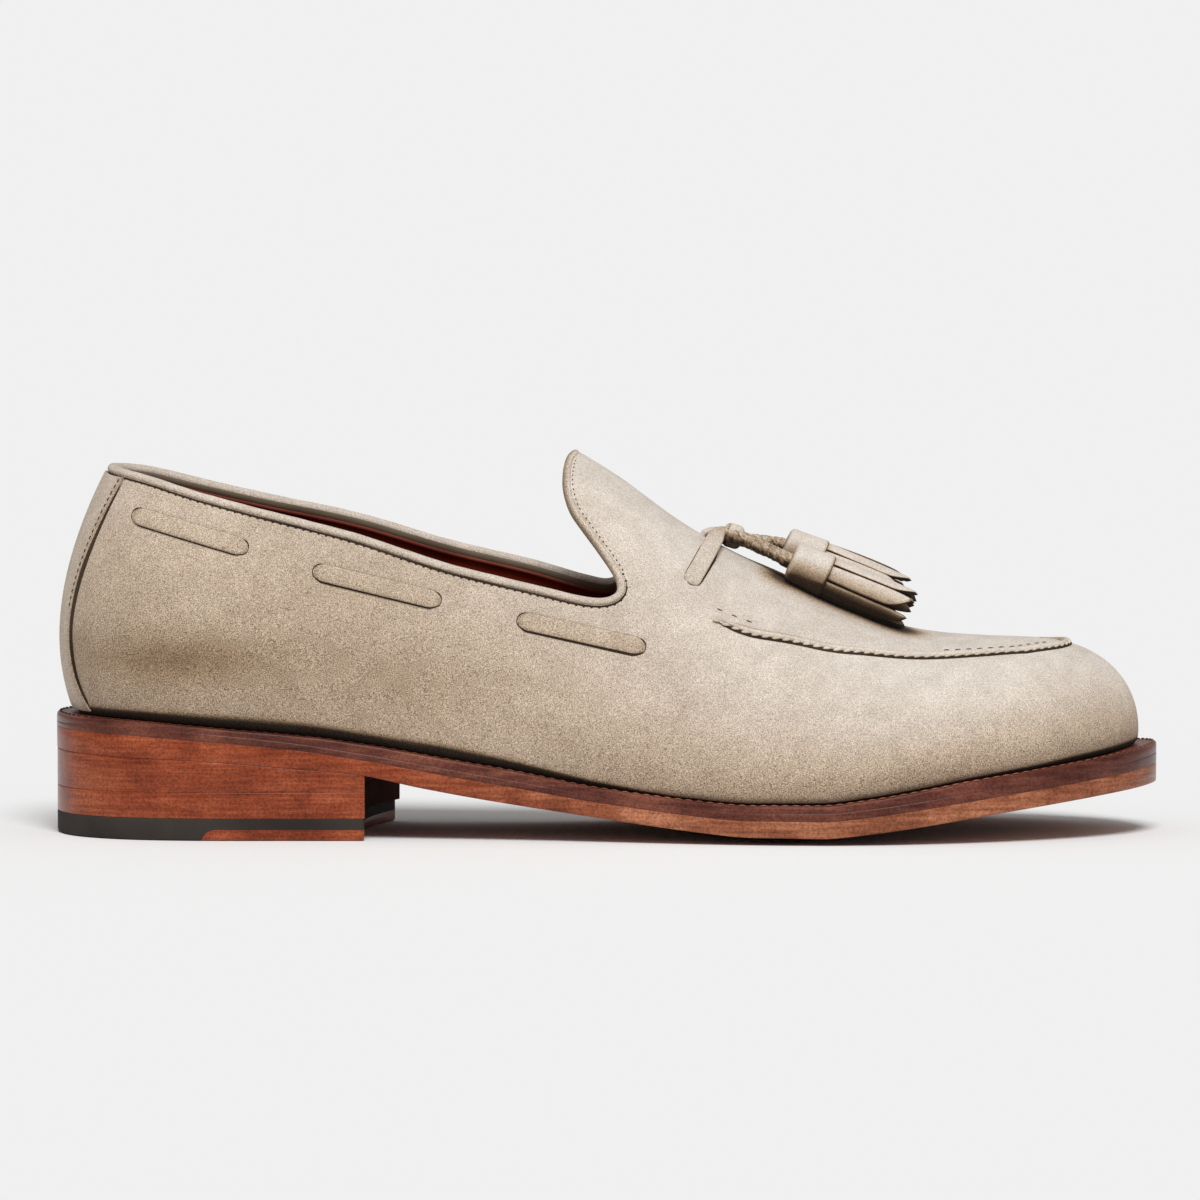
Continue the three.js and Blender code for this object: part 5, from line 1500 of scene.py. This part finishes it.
def makeHeel(look):
    for name, bottomAt, topAt in (
        ("upper", level(look["lowerTop"] + joint + seat), lambda x: treadZ(x) - seat),
        ("lower", level(look["rubberTop"] + seat), level(look["lowerTop"] + joint)),
    ):
        lift = heelBody(f"heel_lift_{name}_leather", bottomAt, topAt, look)
        shadeBreast(finishPiece(lift, heelEdge, (f"heel_lift_{name}",), 35))
    for name, node, operation, grow, material, slot in (
        ("heel_rubber_piece", "heel_rubber", "DIFFERENCE", seat, rubber, "rubber"),
        ("heel_tip_leather", "heel_tip", "INTERSECT", 0.0, heelEdge, "heel_leather"),
    ):
        piece = heelBody(name, level(0), level(look["rubberTop"]), look, look["cornerCut"], look["rounded"])
        block = tipBlock(look, grow)
        applyModifier(piece, "BOOLEAN", operation=operation, object=block, solver="EXACT")
        bpy.data.objects.remove(block)
        finishPiece(piece, material, (node,), 35)


makeHeel(heelLook)
print("sole and heel made")

# Insole

insoleLook = {"columns": 300, "thickness": 3, "edge": [(0.3, 0), (0, 0.5), (0, 2.6), (0.5, 3)]}  # inset, height


def makeInsole(look):
    edge = [(inset, weltTop, gap + height) for inset, height in look["edge"]]
    profile = [(None, weltTop, gap)] + edge + [(None, weltTop, gap + look["thickness"])]
    insole = platePiece(
        "insole_sock", look["columns"], profile, lambda side, t: featherReach(side, t) - tuck - wall - 2 * gap
    )
    finishPiece(insole, lining, ("insole",), 40)


makeInsole(insoleLook)
print("insole made")

# Stage

stageLook = {
    "floorSize": 400, "floor": (240, 240, 240), "world": 0.36,
    "sun": {"turn": (36, 6, 0), "strength": 2.5, "size": 24},
}


def makeStage(look):
    deselectAll()
    bpy.ops.mesh.primitive_plane_add(size=look["floorSize"], location=(0, 0, 0))
    floor = bpy.context.object
    floor.name = "floor"
    material, tree, shader = newMaterial("pale_floor")
    values = {"Base Color": srgb(*look["floor"]), "Roughness": 1.0, "Specular IOR Level": 0.0}
    fillNode(tree, shader, values, {})
    floor.data.materials.append(material)
    world = bpy.data.worlds.new("studio")
    bpy.context.scene.world = world
    world.use_nodes = True
    light = {"Color": (1, 1, 1, 1), "Strength": look["world"]}
    fillNode(world.node_tree, world.node_tree.nodes["Background"], light, {})
    turn = [math.radians(angle) for angle in look["sun"]["turn"]]
    deselectAll()
    bpy.ops.object.light_add(type="SUN", location=(0, 0, 1), rotation=turn)
    sun = bpy.context.object
    sun.name = "key"
    sun.data.energy = look["sun"]["strength"]
    sun.data.angle = math.radians(look["sun"]["size"])


makeStage(stageLook)
bpy.context.scene.view_settings.view_transform = "Standard"
print("stage set")
